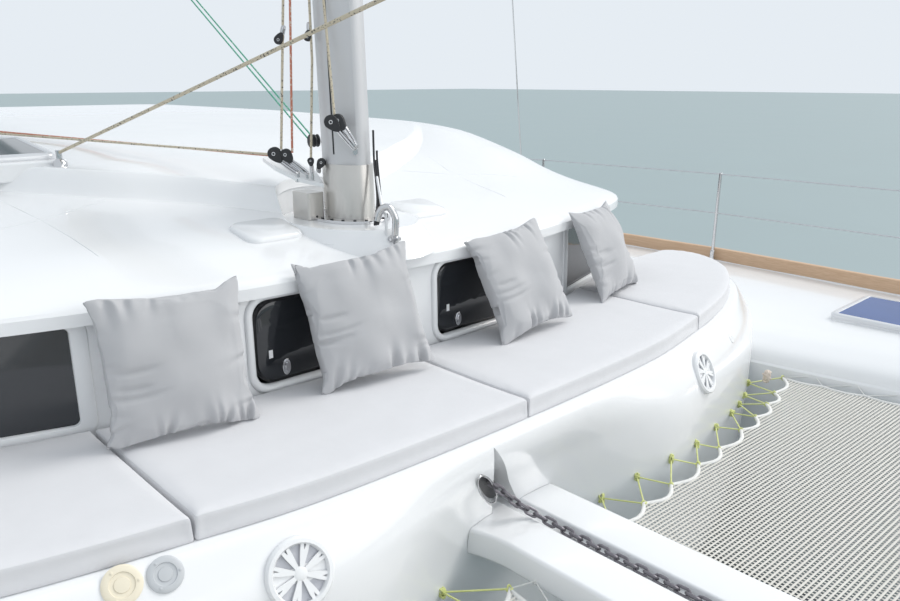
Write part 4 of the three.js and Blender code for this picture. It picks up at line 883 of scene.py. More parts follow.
# The opening hatch lies on the slope of the roof: a low coaming around a hole, with the lid on it
ROOF_HATCH_AT = (-1.09, 0.23)
ROOF_HATCH_SLOPE = 0.09
ROOF_HATCH_HIGH = 0.018
hatch_turn = Matrix.Rotation(ROOF_HATCH_SLOPE, 4, "X")
hatch_turn.translation = (*ROOF_HATCH_AT, roof_z(*ROOF_HATCH_AT))


def square(half, radius=0.03):
    return rounded(-half, half, -half, half, radius, 5)


attach(roof, [plate(square(0.28), -0.06, ROOF_HATCH_HIGH, hatch_turn, 0.006)])
carve(roof, [plate(square(0.21), -0.4, 0.3, hatch_turn)])
attach(roof, [oval_rings(PLINTH)])


# Solid rim around the recess, between the shell's underside and the plinth
def recess_rim():
    rings = []
    for wide, long, level in (
        (0.34, 0.42, 2.39), (0.34, 0.42, None), (0.285, 0.355, None), (0.285, 0.355, 2.45)
    ):
        ring = [(x, max(MAST_Y + y, -1.1)) for x, y in oval(wide, long, 72)]
        rings.append([(x, y, roof_z(x, y) - 0.008 if level is None else level) for x, y in ring])
    return skin(rings)


attach(roof, [recess_rim()])
carve(roof, [oval_rings(RECESS)])
POST_X, POST_Y = 1.95, 4.15
for sign in (1, -1):
    attach(
        roof,
        [
            rod(
                (sign * POST_X, POST_Y, 1.69),
                (sign * POST_X, POST_Y, roof_z(POST_X, POST_Y) - 0.02),
                0.03, 24,
            )
        ],
    )
shade(roof, 28)
fit(roof, "gelcoat", "coachroof")

# Aft bulkhead of the saloon: laminate with the doorway, the door's alloy track and a fixed dark pane.
smooth_copy("cabin_bulkhead", "bulkhead_panel", gelcoat, "gelcoat")
pane_outline = rounded(0.905, 1.845, 1.655, 2.495, 0.03)
pane = skin([[(x, y, z) for x, z in pane_outline] for y in (2.2863, 2.296)])
add("bulkhead_pane", [pane], window_glass, "glass", angle=32)

# Saloon door: a framed pane of tinted glass that slides behind the fixed pane, with an upright handle
anodised = surface("anodised_alloy", (0.5, 0.51, 0.53), 0.35, 0.9, cloud=0.04, cloud_scale=6)
smooth_copy("saloon_door", "door_leaf", anodised, "glass", body="door")
door_glass = skin(
    [[(x, y, z) for x, z in rounded(-0.299, 0.599, 1.051, 2.559, 0.01)] for y in (2.3266, 2.331)]
)
add("door_glass", [door_glass], window_glass, "glass", angle=32, body="door")
handle = tube(
    curve(
        [(-0.34, 2.335, 1.72), (-0.34, 2.365, 1.74), (-0.34, 2.365, 1.95), (-0.34, 2.335, 1.97)], 5
    ), 0.009
)
add("door_handle", [handle], steel, "steel", angle=32, body="door")


# Cockpit seats, coamings and helm console: moulded laminate with softened edges
def soften(made, width, segments, limit):
    edges = made.modifiers.new("edges", "BEVEL")
    edges.width = width
    edges.segments = segments
    edges.limit_method = "ANGLE"
    edges.angle_limit = math.radians(limit)
    settle(made)
    shade(made, 40)


for node in ("cockpit_bench", "cockpit_coaming_port", "cockpit_coaming_starboard", "helm_console"):
    made = smooth_copy(node, node + "_shell", gelcoat, "gelcoat")
    soften(made, 0.018, 3, 50)

# Helm instruments: black-rimmed displays and a compass dome on the console's aft face and top
HELM_X = -1.35
HELM_Y = 2.56
screens = []
for x, z, wide, high in ((-0.27, 1.92, 0.1, 0.055), (0.27, 1.92, 0.1, 0.055), (0.0, 1.96, 0.09, 0.05)):
    at = Matrix(((-1, 0, 0), (0, 0, 1), (0, 1, 0))).to_4x4()
    at.translation = (HELM_X + x, HELM_Y + 0.0003, z)
    screens.append(plate(rounded(-wide, wide, -high, high, 0.012), 0, 0.014, at, 0.004))
add("helm_displays", screens, black_plastic, "gelcoat")
dome = turned(
    (HELM_X, 2.45, 2.0503), (HELM_X, 2.45, 2.12),
    [(0, 0.07), (0.15, 0.07), (0.25, 0.055), (0.7, 0.045), (0.95, 0.02), (1, 0.004)],
)
add("helm_compass", [dome], black_plastic, "gelcoat")

# Steering wheel: polished tube rim with five spokes on a turned hub
WHEEL_Y = 2.65
WHEEL_Z = 1.78
WHEEL_R = 0.38
rim_line = [
    (HELM_X + WHEEL_R * math.sin(a), WHEEL_Y, WHEEL_Z + WHEEL_R * math.cos(a))
    for a in circle(64)
]
wheel_parts = [tube(rim_line, 0.0135, 14, closed=True)]
for a in circle(5):
    end = (HELM_X + (WHEEL_R - 0.003) * math.sin(a), WHEEL_Y, WHEEL_Z + (WHEEL_R - 0.003) * math.cos(a))
    wheel_parts.append(rod((HELM_X, WHEEL_Y, WHEEL_Z), end, 0.009, 12, 0.007))
wheel_parts.append(
    turned(
        (HELM_X, 2.6203, WHEEL_Z), (HELM_X, 2.675, WHEEL_Z),
        [(0, 0.045), (0.6, 0.045), (0.85, 0.036), (1, 0.02)],
    )
)
add("wheel_rim", wheel_parts, steel, "steel", "steering_wheel", body="wheel")

# Forward crossbeam: an anodised tube between the bows, with a striker fork over the chain and stays
# that carry the forestay's pull down to the tube's ends.
CROSSBEAM_Y = -5.65
CROSSBEAM_Z = 1.64
STRIKER_Z = 2.26
CROSS_END = HULL_X - along(HULL, CROSSBEAM_Y)[1] + 0.012
cross = [rod((-CROSS_END, CROSSBEAM_Y, CROSSBEAM_Z), (CROSS_END, CROSSBEAM_Y, CROSSBEAM_Z), 0.09, 48)]
for sign in (1, -1):
    cross.append(rod((sign * 0.095, CROSSBEAM_Y, 1.7), (0, CROSSBEAM_Y, STRIKER_Z), 0.022, 20))
    cross.append(
        rod((sign * (CROSS_END - 0.25), CROSSBEAM_Y, 1.7), (0, CROSSBEAM_Y, STRIKER_Z - 0.03), 0.011, 14)
    )
    cross.append(
        rod(
            (sign * (CROSS_END - 0.06), CROSSBEAM_Y, CROSSBEAM_Z),
            (sign * (CROSS_END - 0.035), CROSSBEAM_Y, CROSSBEAM_Z),
            0.094, 48,
        )
    )
cross.append(
    slab_box(-0.045, 0.045, CROSSBEAM_Y - 0.045, CROSSBEAM_Y + 0.045, STRIKER_Z - 0.045, STRIKER_Z + 0.015)
)
add("crossbeam_tube", cross, anodised, "aluminium", "crossbeam")

# Centre beam: a white hollow laminate beam from the crossbeam to the notch, grooved for the chain
BEAM_X = -0.03
BEAM_HALF = 0.208
BEAM_Z = 1.6
BEAM_FOOT_Z = 1.48
GROOVE = 0.032
GROOVE_DEEP = 0.028
BEAM_FRONT_Y = CROSSBEAM_Y + 0.0903


def rounding(cx, cz, radius, start, steps=6):
    return [
        (cx + radius * math.cos(a), cz + radius * math.sin(a))
        for a in (math.radians(start + 90 * k / steps) for k in range(steps + 1))
    ]


def beam_section():
    section = rounding(-BEAM_HALF + 0.022, BEAM_FOOT_Z + 0.037, 0.022, 180)
    section += rounding(BEAM_HALF - 0.022, BEAM_FOOT_Z + 0.037, 0.022, 270)
    section += rounding(BEAM_HALF - 0.014, BEAM_Z - 0.014, 0.014, 0)
    section += rounding(GROOVE + 0.01, BEAM_Z - 0.01, 0.01, 90, 3)
    section += [(GROOVE - 0.006, BEAM_Z - GROOVE_DEEP), (-GROOVE + 0.006, BEAM_Z - GROOVE_DEEP)]
    section += rounding(-GROOVE - 0.01, BEAM_Z - 0.01, 0.01, 0, 3)
    section += rounding(-BEAM_HALF + 0.014, BEAM_Z - 0.014, 0.014, 90)
    return section


BEAM_STATIONS = [BEAM_FRONT_Y, BEAM_FRONT_Y + 0.01] + [-5.4 + 0.4 * k for k in range(8)]
BEAM_STATIONS += [-2.3, -2.2, -2.1, -2.0, -1.9, -1.8, -1.7, -1.6, -1.549]
BEAM_STATIONS = sorted({*BEAM_STATIONS, *[-2.05 + 0.03 * k for k in range(14)]})


# The beam's starboard side flares out where it meets the moulding
def beam_ring(y):
    flare = 0.05 * max(0, (y + 2.02) / 0.2) ** 2
    return [(BEAM_X + x - (min(flare, 0.07) if x < -0.15 else 0), y, z) for x, z in beam_section()]


beam = piece("centre_beam_shell", [skin([beam_ring(y) for y in BEAM_STATIONS])], gelcoat)
notch_tool = new_object("moulding_cutter", [], [])
notch_tool.data = seat_moulding.data.copy()
notch_tool.location.y = -0.0015
combine(beam, notch_tool, "DIFFERENCE")
shade(beam, 32)
fit(beam, "gelcoat", "centre_beam")

# Bow roller: stainless cheeks around a black roller; the anchor hangs from it on its shank
ROLLER_Y = CROSSBEAM_Y - 0.0903
cheeks = []
for x in (BEAM_X - 0.046, BEAM_X + 0.046):
    outline = [
        (-0.33, -0.02), (-0.30, -0.055), (-0.06, -0.06), (0, -0.06), (0, 0.09), (-0.06, 0.09),
        (-0.24, 0.055), (-0.31, 0.04),
    ]
    at = Matrix(((0, 0, 1), (1, 0, 0), (0, 1, 0))).to_4x4()
    at.translation = (x - 0.006, ROLLER_Y, CROSSBEAM_Z)
    cheeks.append(plate(outline, 0, 0.012, at, 0.002))
cheeks.append(
    slab_box(
        BEAM_X - 0.046, BEAM_X + 0.046, ROLLER_Y - 0.06, ROLLER_Y, CROSSBEAM_Z - 0.06, CROSSBEAM_Z - 0.04
    )
)
add("roller_cheeks", cheeks, steel, "steel", "anchor_roller")
ROLLER_FORM = [(0, 0.038), (0.2, 0.036), (0.45, 0.03), (0.55, 0.03), (0.8, 0.036), (1, 0.038)]
roller = turned(
    (BEAM_X - 0.039, ROLLER_Y - 0.26, CROSSBEAM_Z - 0.01),
    (BEAM_X + 0.039, ROLLER_Y - 0.26, CROSSBEAM_Z - 0.01),
    ROLLER_FORM,
)
add("bow_roller", [roller], black_plastic, "steel")
galvanised = surface(
    "galvanised", (0.36, 0.36, 0.38), 0.5, 0.85, cloud=0.2, cloud_scale=30, grain=0.5, grain_scale=300
)
anchor = smooth_copy("anchor", "anchor_forging", galvanised, "steel", 30)
soften(anchor, 0.004, 2, 30)

# Anchor chain: galvanised short links, each turned a quarter against the next, from the anchor's shank
# over the crossbeam and along the groove up into the hawse ring.
ANCHOR_Z = CROSSBEAM_Z + 0.0463
CHAIN_Z = BEAM_Z - GROOVE_DEEP + 0.0163
LINK_PITCH = 0.036
LINK_HALF = 0.0115
LINK_WIRE = 0.0052
chain_line = [(BEAM_X, ROLLER_Y - 0.035, ANCHOR_Z)]
for angle in (-0.6, -0.2, 0.2, 0.6):
    chain_line.append(
        (BEAM_X, CROSSBEAM_Y + 0.109 * math.sin(angle), CROSSBEAM_Z + 0.109 * math.cos(angle))
    )
chain_line += [
    (BEAM_X, BEAM_FRONT_Y + 0.2, CHAIN_Z + 0.06), (BEAM_X, BEAM_FRONT_Y + 0.6, CHAIN_Z),
    (BEAM_X, -4.0, CHAIN_Z),
    (BEAM_X, -3.0, CHAIN_Z), (BEAM_X, -2.2, CHAIN_Z), (BEAM_X - 0.001, -2.06, CHAIN_Z + 0.004),
    (BEAM_X - 0.028, -1.97, CHAIN_Z + 0.028), (BEAM_X - 0.075, -1.93, CHAIN_Z + 0.07),
    (-0.15, -1.895, 1.71), (-0.185, -1.87, 1.742), (-0.2, -1.845, 1.75),
]
chain_curve = curve(chain_line, 24)
steps = [0.0]
for a, b in zip(chain_curve, chain_curve[1:]):
    steps.append(steps[-1] + (b - a).length)


def chain_at(distance):
    k = max(i for i in range(len(steps) - 1) if steps[i] <= distance)
    share = (distance - steps[k]) / max(steps[k + 1] - steps[k], 1e-9)
    return chain_curve[k].lerp(chain_curve[k + 1], share), (
        chain_curve[k + 1] - chain_curve[k]
    ).normalized()


# One link along X: a stadium ring of round wire
def link_form():
    line = []
    straight = LINK_PITCH / 2 + LINK_WIRE - LINK_HALF
    for k in range(14):
        a = -math.pi / 2 + math.pi * (k % 7) / 6 + (math.pi if k > 6 else 0)
        x = math.cos(a) * LINK_HALF + (straight if k < 7 else -straight)
        line.append((x, math.sin(a) * LINK_HALF, 0))
    return tube(line, LINK_WIRE, 7, closed=True)


# Copies of one form on points: Geometry Nodes put it at each point with the point's turn
def repeat(name, form, spots, material):
    master = piece(name + "_form", [form], material, 40)
    host = new_object(name, [tuple(at.to_translation()) for at in spots], [])
    host.data.attributes.new("turn", "FLOAT_VECTOR", "POINT")
    for k, at in enumerate(spots):
        host.data.attributes["turn"].data[k].vector = at.to_euler()
    tree = bpy.data.node_groups.new(name + "_repeat", "GeometryNodeTree")
    for name, way, kind in (
        ("Places", "INPUT", "Geometry"), ("Form", "INPUT", "Object"), ("Finish", "INPUT", "Material"),
        ("Copies", "OUTPUT", "Geometry"),
    ):
        tree.interface.new_socket(name=name, in_out=way, socket_type="NodeSocket" + kind)
    nodes, links = tree.nodes, tree.links
    given = nodes.new("NodeGroupInput")
    result = nodes.new("NodeGroupOutput")
    source = nodes.new("GeometryNodeObjectInfo")
    source.transform_space = "ORIGINAL"
    spread = nodes.new("GeometryNodeInstanceOnPoints")
    turns = nodes.new("GeometryNodeInputNamedAttribute")
    turns.data_type = "FLOAT_VECTOR"
    turns.inputs["Name"].default_value = "turn"
    to_turn = nodes.new("FunctionNodeEulerToRotation")
    real = nodes.new("GeometryNodeRealizeInstances")
    finish = nodes.new("GeometryNodeSetMaterial")
    for giver, output, taker, input_name in (
        (given, "Form", source, "Object"), (given, "Places", spread, "Points"),
        (source, "Geometry", spread, "Instance"),
        (turns, "Attribute", to_turn, "Euler"), (to_turn, "Rotation", spread, "Rotation"),
        (spread, "Instances", real, "Geometry"), (real, "Geometry", finish, "Geometry"),
        (given, "Finish", finish, "Material"), (finish, "Geometry", result, "Copies"),
    ):
        links.new(giver.outputs[output], taker.inputs[input_name])
    maker = host.modifiers.new("repeat", "NODES")
    maker.node_group = tree
    for item in tree.interface.items_tree:
        if item.name == "Form":
            maker[item.identifier] = master
        if item.name == "Finish":
            maker[item.identifier] = material
    settle(host)
    bpy.data.objects.remove(master)
    if not host.data.materials:
        host.data.materials.append(material)
    return host


def turned_to(ahead, roll):
    ahead = Vector(ahead).normalized()
    side = Vector((0, 0, 1)).cross(ahead).normalized()
    made = Matrix((ahead, side, ahead.cross(side))).transposed().to_4x4()
    return made @ Matrix.Rotation(roll, 4, "X")


link_spots = []
count = int(steps[-1] / LINK_PITCH)
for k in range(count):
    point, ahead = chain_at((k + 0.5) * LINK_PITCH)
    at = turned_to(ahead, math.radians(45 + 90 * (k % 2)))
    at.translation = point
    link_spots.append(at)
chain_steel = surface("chain_steel", (0.2, 0.19, 0.21), 0.5, 0.7, cloud=0.3, cloud_scale=40)
fit(repeat("chain_links", link_form(), link_spots, chain_steel), "galvanised", "anchor_chain")

# Trampolines: white knitted netting in a scalloped bolt rope, laced with thin line to the hulls, the
# beams and the front moulding. Each net is two layers of strands that cross on the slant.
NET_LACED = 0.065
NET_EDGE = 0.04
NET_FRONT_Y = CROSSBEAM_Y + 0.09 + NET_LACED
NET_PITCH = 0.0172
STRANDS = ((-2, 0.0078, 0.0014), (88, 0.0062, -0.0014))
# Where the after edge is tied, and the eyes on the moulding that its line goes through
AFTER_TIES = [
    (0.453, -2.08), (0.656, -2.072), (0.887, -2.06), (1.091, -2.045), (1.337, -2.02), (1.522, -2.0),
    (1.71, -1.965),
    (1.88, -1.925),
]
EYES = [
    (0.43, 1.455), (0.595, 1.507), (0.78, 1.537), (1.0, 1.528), (1.26, 1.508), (1.5, 1.49), (1.66, 1.475),
    (1.8, 1.47),
    (1.93, 1.49),
]


def deck_inner(y):
    return HULL_X - along(HULL, y)[2]


# The net's sides, anticlockwise from the inner front corner: front, hull, moulding, centre beam
def net_sides(sign):
    inner = sign * BEAM_X + BEAM_HALF + NET_LACED
    aft = AFTER_TIES[0][1]

    def outer(y):
        return deck_inner(min(y, -1.9)) - NET_EDGE

    x_end = outer(-1.9)
    y_end = -1.86
    front = [(inner, NET_FRONT_Y), (outer(NET_FRONT_Y), NET_FRONT_Y)]
    hull_side = [(outer(y), y) for y in (NET_FRONT_Y + (y_end - NET_FRONT_Y) * k / 24 for k in range(25))]
    aft_side = [(x_end, y_end), *reversed(AFTER_TIES), (inner, aft)]
    return front, hull_side, aft_side, [(inner, aft), (inner, NET_FRONT_Y)]


def resample(line, pitch):
    points = [Vector((x, y, 0)) for x, y in line]
    lengths = [0.0]
    for a, b in zip(points, points[1:]):
        lengths.append(lengths[-1] + (b - a).length)
    count = max(2, round(lengths[-1] / pitch))
    spaced = []
    for n in range(count + 1):
        distance = lengths[-1] * n / count
        k = max(i for i in range(len(points) - 1) if lengths[i] <= distance + 1e-9)
        share = (distance - lengths[k]) / max(lengths[k + 1] - lengths[k], 1e-9)
        spaced.append(points[k].lerp(points[k + 1], min(share, 1)))
    return spaced


# The bolt rope: it bows in towards the net between its ties
def scalloped(side, pitch, depth):
    ties = resample(side, pitch) if pitch else [Vector((x, y, 0)) for x, y in side]
    line = []
    for a, b in zip(ties, ties[1:]):
        inward = Vector((-(b - a).y, (b - a).x, 0)).normalized()
        line += [a.lerp(b, k / 6) + inward * depth * math.sin(math.pi * k / 6) for k in range(6)]
    return ties, line


# Chords of a slanted line within an outline, as pairs of points
def chords(outline, angle, pitch):
    ahead = Vector((math.cos(angle), math.sin(angle)))
    across = Vector((-ahead.y, ahead.x))
    reach = [across.dot(Vector(p)) for p in outline]
    found = []
    for n in range(math.ceil(min(reach) / pitch), math.floor(max(reach) / pitch) + 1):
        level = (n + 0.5) * pitch
        hits = []
        for k, here in enumerate(outline):
            there = outline[(k + 1) % len(outline)]
            a, b = reach[k] - level, reach[(k + 1) % len(outline)] - level
            if a * b < 0:
                point = Vector(here).lerp(Vector(there), a / (a - b))
                hits.append((ahead.dot(point), point))
        hits.sort(key=lambda hit: hit[0])
        found += [(hits[i][1], hits[i + 1][1]) for i in range(0, len(hits) - 1, 2)]
    return found


def strand_layer(outline, angle, width, level):
    verts, faces = [], []
    for start, end in chords(outline, angle, NET_PITCH):
        if (end - start).length < 0.01:
            continue
        side = Vector((-(end - start).y, (end - start).x)).normalized() * width / 2
        base = len(verts)
        for point in (start, end):
            for shift, rise in ((-1, 0), (0, 0.0014), (1, 0), (0, -0.0014)):
                verts.append((point.x + side.x * shift, point.y + side.y * shift, level + rise))
        faces += [(base + i, base + (i + 1) % 4, base + 4 + (i + 1) % 4, base + 4 + i) for i in range(4)]
        faces += [(base, base + 1, base + 2, base + 3), (base + 4, base + 5, base + 6, base + 7)]
    return verts, faces


# Frame whose Z axis points inboard and up by the given parts, with X fore and aft
def facing_side(point, inboard, rise):
    out = Vector((inboard, 0, rise)).normalized()
    return frame_on(point, Vector((0, 1, 0)), out)


# A knot: loops of line wound over each other at a point, each turned its own way
def knot(place, loops, size, radius, seed):
    chance = random.Random(seed)
    made = []
    for k in range(loops):
        turn_knot = Matrix.Rotation(chance.uniform(0, 6), 4, "Z")
        turn_knot = turn_knot @ Matrix.Rotation(chance.uniform(0.5, 2.2), 4, "X")
        wide, long = size * chance.uniform(0.5, 0.8), size * chance.uniform(0.9, 1.3)
        turn_knot.translation = place
        made.append(
            tube([turn_knot @ Vector((x, y, 0)) for x, y in oval(wide, long, 14)], radius, 6, closed=True)
        )
    return made


net_cord = surface(
    "net_cord", (0.7, 0.68, 0.63), 0.85, cloud=0.12, cloud_scale=40, grain=0.6, grain_scale=900
)
bolt_rope = surface(
    "bolt_rope", (0.8, 0.8, 0.78), 0.8, cloud=0.05, cloud_scale=30, grain=0.8, grain_scale=600
)
lime_line = surface(
    "lime_line", (0.7, 0.74, 0.3), 0.7, cloud=0.15, cloud_scale=60, grain=0.6, grain_scale=900
)
beige_line = surface(
    "beige_line", (0.75, 0.66, 0.58), 0.8, cloud=0.15, cloud_scale=60, grain=0.8, grain_scale=700
)
white_line = surface(
    "white_line", (0.78, 0.78, 0.76), 0.75, cloud=0.06, cloud_scale=60, grain=0.6, grain_scale=900
)
SCALLOPS = ((0.25, 0.012), (0.2, 0.022), (0, 0.042), (0.2, 0.014))
for word, sign, turn in SIDES:
    ropes, ties = [], []
    for side, (pitch, depth) in zip(net_sides(sign), SCALLOPS):
        tied, line = scalloped(side, pitch, depth)
        ties.append(tied)
        ropes += line
    border = [(p.x, p.y) for p in ropes]
    level = NET_Z - 0.004
    layers = [
        strand_layer(border, math.radians(angle), width, level + rise)
        for angle, width, rise in STRANDS
    ]
    net = piece("net_strands_" + word, turn(layers), net_cord, 60)
    fit(net, "net", "trampoline_" + word)
    rope_line = [(p.x, p.y, level) for p in ropes]
    add("net_rope_" + word, turn([tube(rope_line, 0.0085, 8, closed=True)]), bolt_rope, "net", angle=60)
    lacing = {"lime": [], "white": []}
    slots = []
    for number, (tied, color) in enumerate(zip(ties, ("white", "white", "lime", "white"))):
        hooks = []
        for k, point in enumerate(tied[:-1]):
            if number == 0:
                anchor_point = (point.x + 0.02, CROSSBEAM_Y + 0.088, CROSSBEAM_Z - 0.03)
            elif number == 1:
                anchor_point = (deck_inner(min(point.y, -1.9)) + 0.004, point.y + 0.06, NET_Z + 0.026)
            elif number == 2:
                eye_x, eye_z = EYES[len(EYES) - 1 - min(k, len(EYES) - 1)]
                anchor_point = (eye_x, moulding_frame(eye_x, eye_z).translation.y - 0.004, eye_z)
            else:
                anchor_point = (sign * BEAM_X + BEAM_HALF - 0.001, point.y - 0.05, NET_Z + 0.02)
            hooks.append(anchor_point)
        thick = 0.0032 if color == "lime" else 0.0028
        for point, hook in [*zip(tied, hooks), *zip(tied[1:], hooks)]:
            lacing[color].append(rod((point.x, point.y, level + 0.002), hook, thick, 8))
        for k, hook in enumerate(hooks):
            lacing[color] += knot(
                hook, 5 if color == "lime" else 1, 0.016 if color == "lime" else 0.008, thick, k
            )
            if number == 1:
                slots.append(hook)
        for k, point in enumerate(tied):
            if number == 2:
                lacing[color] += knot((point.x, point.y, level), 2, 0.012, thick, 40 + k)
    add("net_lacing_" + word, turn(lacing["white"]), white_line, "net", angle=60)
    add("moulding_lacing_" + word, turn(lacing["lime"]), lime_line, "net", angle=60)
    slot_shapes = []
    for x, y, z in slots:
        at = facing_side((x + 0.001, y, z + 0.002), -1.0, 0.35)
        slot_shapes.append(plate(rounded(-0.026, 0.026, -0.009, 0.009, 0.0088), -0.012, 0.003, at))
    add("lacing_slots_" + word, turn(slot_shapes), black_plastic, "net")
    # Beige line made fast in a knot at the net's after corner
    ball = knot((1.955, -1.845, 1.545), 8, 0.026, 0.0052, 77)
    add("corner_knot_" + word, turn(ball), beige_line, "net", angle=60)


# Toe rails: bare teak battens along the outer deck edges, screwed down over bedding compound.
def teak():
    made = surface("bare_teak", (0.67, 0.51, 0.37), 0.6, cloud=0.12, cloud_scale=1.2)
    fibres = noise_in(made, 3, 6, stretch=(60, 1.2, 60))
    feed(made, shader_of(made), {"Base Color": mixed(made, fibres, (0.47, 0.29, 0.17), (0.76, 0.55, 0.38))})
    return made


bare_teak = teak()
RAIL_YS = [
    -6.1, -5.85, -5.6, -5.2, -4.8, -4.3, -3.8, -3.3, -2.8, -2.3, -1.8, -1.2, -0.6, 0.2, 1.0, 1.8, 2.6, 3.3,
    4.0, 4.7, 5.3,
]
RAIL_FORM = [
    (-0.022, -0.06), (0.022, -0.06), (0.022, 0.024), (0.0195, 0.033), (0.012, 0.038), (-0.012, 0.038),
    (-0.0195, 0.033), (-0.022, 0.024),
]
for word, sign, turn in SIDES:
    rings = []
    for y in RAIL_YS:
        outer, deck = along(HULL, y)[3], along(HULL, y)[4]
        rings.append([(HULL_X + outer - 0.028 + x, y, deck - 0.008 + z) for x, z in RAIL_FORM])
    add("toe_rail_batten_" + word, turn([skin(rings)]), bare_teak, "teak", "toe_rail_" + word)

# Guardrails: polished stanchions in flanged sockets, with two wire lifelines through them
STANCHION_YS = [-4.1, -2.4, -0.56, 1.2, 2.7, 4.1, 5.25]
STANCHION = 0.62
STANCHION_LEAN = 0.015
RAIL_TUBE = 0.0125
WIRE_HEIGHTS = (1, 0.52)


def rail_x(y):
    return HULL_X + along(HULL, y)[3] - 0.09


def deck_top(y):
    return along(HULL, y)[4]


# Height of the deck's surface at a distance outboard of the hull's middle
def deck_level(y, out):
    points = [(p.x - HULL_X, p.z) for p in hull_ring(y)]
    best = [z for (x0, z0), (x1, z1) in zip(points, points[1:] + points[:1])
            for z in ([z0 + (z1 - z0) * (out - x0) / (x1 - x0)] if (x0 - out) * (x1 - out) < 0 else [])]
    return max(best)


wire_rope = surface(
    "wire_rope", (0.55, 0.56, 0.58), 0.4, 0.9, cloud=0.1, cloud_scale=60, grain=0.5, grain_scale=900
)
for word, sign, turn in SIDES:
    stands, wires = [], []
    for y in STANCHION_YS:
        foot = Vector((rail_x(y), y, deck_level(y, rail_x(y) - HULL_X)))
        top = Vector((rail_x(y) + STANCHION_LEAN, y, deck_top(y) + STANCHION))
        stands.append(rod(foot - Vector((0, 0, 0.02)), top - Vector((0, 0, 0.006)), RAIL_TUBE, 20))
        stands.append(
            turned(
                top - Vector((0, 0, 0.007)), top,
                [(0, 0.0125), (0.5, 0.0115), (0.85, 0.008), (1, 0.002)],
                20,
            )
        )
        socket = [(0, 0.036), (0.05, 0.036), (0.1, 0.034), (0.14, 0.02), (0.95, 0.0185), (1, 0.017)]
        stands.append(turned(foot - Vector((0, 0, 0.004)), foot + Vector((0, 0, 0.085)), socket, 28))
        for share in WIRE_HEIGHTS:
            eye = Vector((rail_x(y) + STANCHION_LEAN * share, y, deck_top(y) + STANCHION * share - 0.012))
            stands.append(
                turned(
                    eye - Vector((0, 0.016, 0)), eye + Vector((0, 0.016, 0)),
                    [(0, 0.0055), (0.2, 0.0075), (0.8, 0.0075), (1, 0.0055)],
                    12,
                )
            )
    for share in WIRE_HEIGHTS:
        wires.append(
            tube(
                [
                    (rail_x(y) + STANCHION_LEAN * share, y, deck_top(y) + STANCHION * share - 0.012)
                    for y in STANCHION_YS
                ],
                0.0042,
                8,
            )
        )
    add("stanchions_" + word, turn(stands), steel, "steel", "guardrail_" + word)
    add("lifelines_" + word, turn(wires), wire_rope, "steel")

# Pulpits: bent stainless tube around the bows on short legs
for word, sign, turn in SIDES:
    high = deck_top(-6.28) + 0.6
    stands = curve(
        [
            (rail_x(-4.7), -4.7, deck_level(-4.7, rail_x(-4.7) - HULL_X) - 0.01),
            (rail_x(-4.7), -4.76, high - 0.06),
            (rail_x(-5.2), -5.25, high), (HULL_X + 0.15, -6.15, high), (HULL_X, -6.34, high),
            (HULL_X - 0.15, -6.15, high), (deck_inner(-5.35) + 0.11, -5.35, high),
            (deck_inner(-5.3) + 0.13, -5.27, deck_level(-5.27, deck_inner(-5.3) + 0.13 - HULL_X) - 0.01),
        ],
        10,
    )
    bars = [tube(stands, RAIL_TUBE, 16)]
    for foot_x, foot_y, top_x, top_y in (
        (HULL_X + 0.095, -6.05, HULL_X + 0.15, -6.15), (HULL_X - 0.095, -6.05, HULL_X - 0.15, -6.15),
        (rail_x(-5.3), -5.3, rail_x(-5.25), -5.29),
    ):
        level = deck_level(foot_y, foot_x - HULL_X)
        bars.append(rod((foot_x, foot_y, level - 0.01), (top_x, top_y, high), RAIL_TUBE, 16))
        bars.append(
            turned(
                (foot_x, foot_y, level - 0.003), (foot_x, foot_y, level + 0.012),
                [(0, 0.032), (0.4, 0.032), (1, 0.018)], 24,
            )
        )
    add("pulpit_tubes_" + word, turn(bars), steel, "steel", "pulpit_" + word)

# Deck hatches: low anodised frames with blue tinted acrylic, hinged along the front edge
blue_acrylic = surface(
    "blue_acrylic", (0.035, 0.085, 0.27), 0.1, cloud=0.15, cloud_scale=4, Specular_IOR_Level=0.3
)
frame_alloy = surface("frame_alloy", (0.72, 0.73, 0.75), 0.3, 0.4, cloud=0.03, cloud_scale=6)
DECK_HATCH = (3.09, -2.11, 0.3)
ENGINE_HATCH = (HULL_X, 4.9, 0.33, 0.27)
DECK_HATCH_FORM = [
    (0, 0.0004), (0, 0.014), (0.004, 0.02), (0.016, 0.024), (0.032, 0.024), (0.036, 0.02), (0.036, 0.0004)
]


# A hatch's frame: a section of (inset, height) carried round a rounded square
def hatch_frame(at, half, corner, least, form, high=0.0):
    rings = []
    for inset, z in form:
        outline = square(half - inset, max(corner - inset, least))
        rings.append([tuple(at @ Vector((x, y, high + z))) for x, y in outline])
    return skin([*rings, rings[0]], ends=False)


def hatch_level(y, high):
    deck = along(HULL, y)[4]
    return deck - (1 - DECK_MIDDLE) * (deck - NET_Z + 0.03) + high


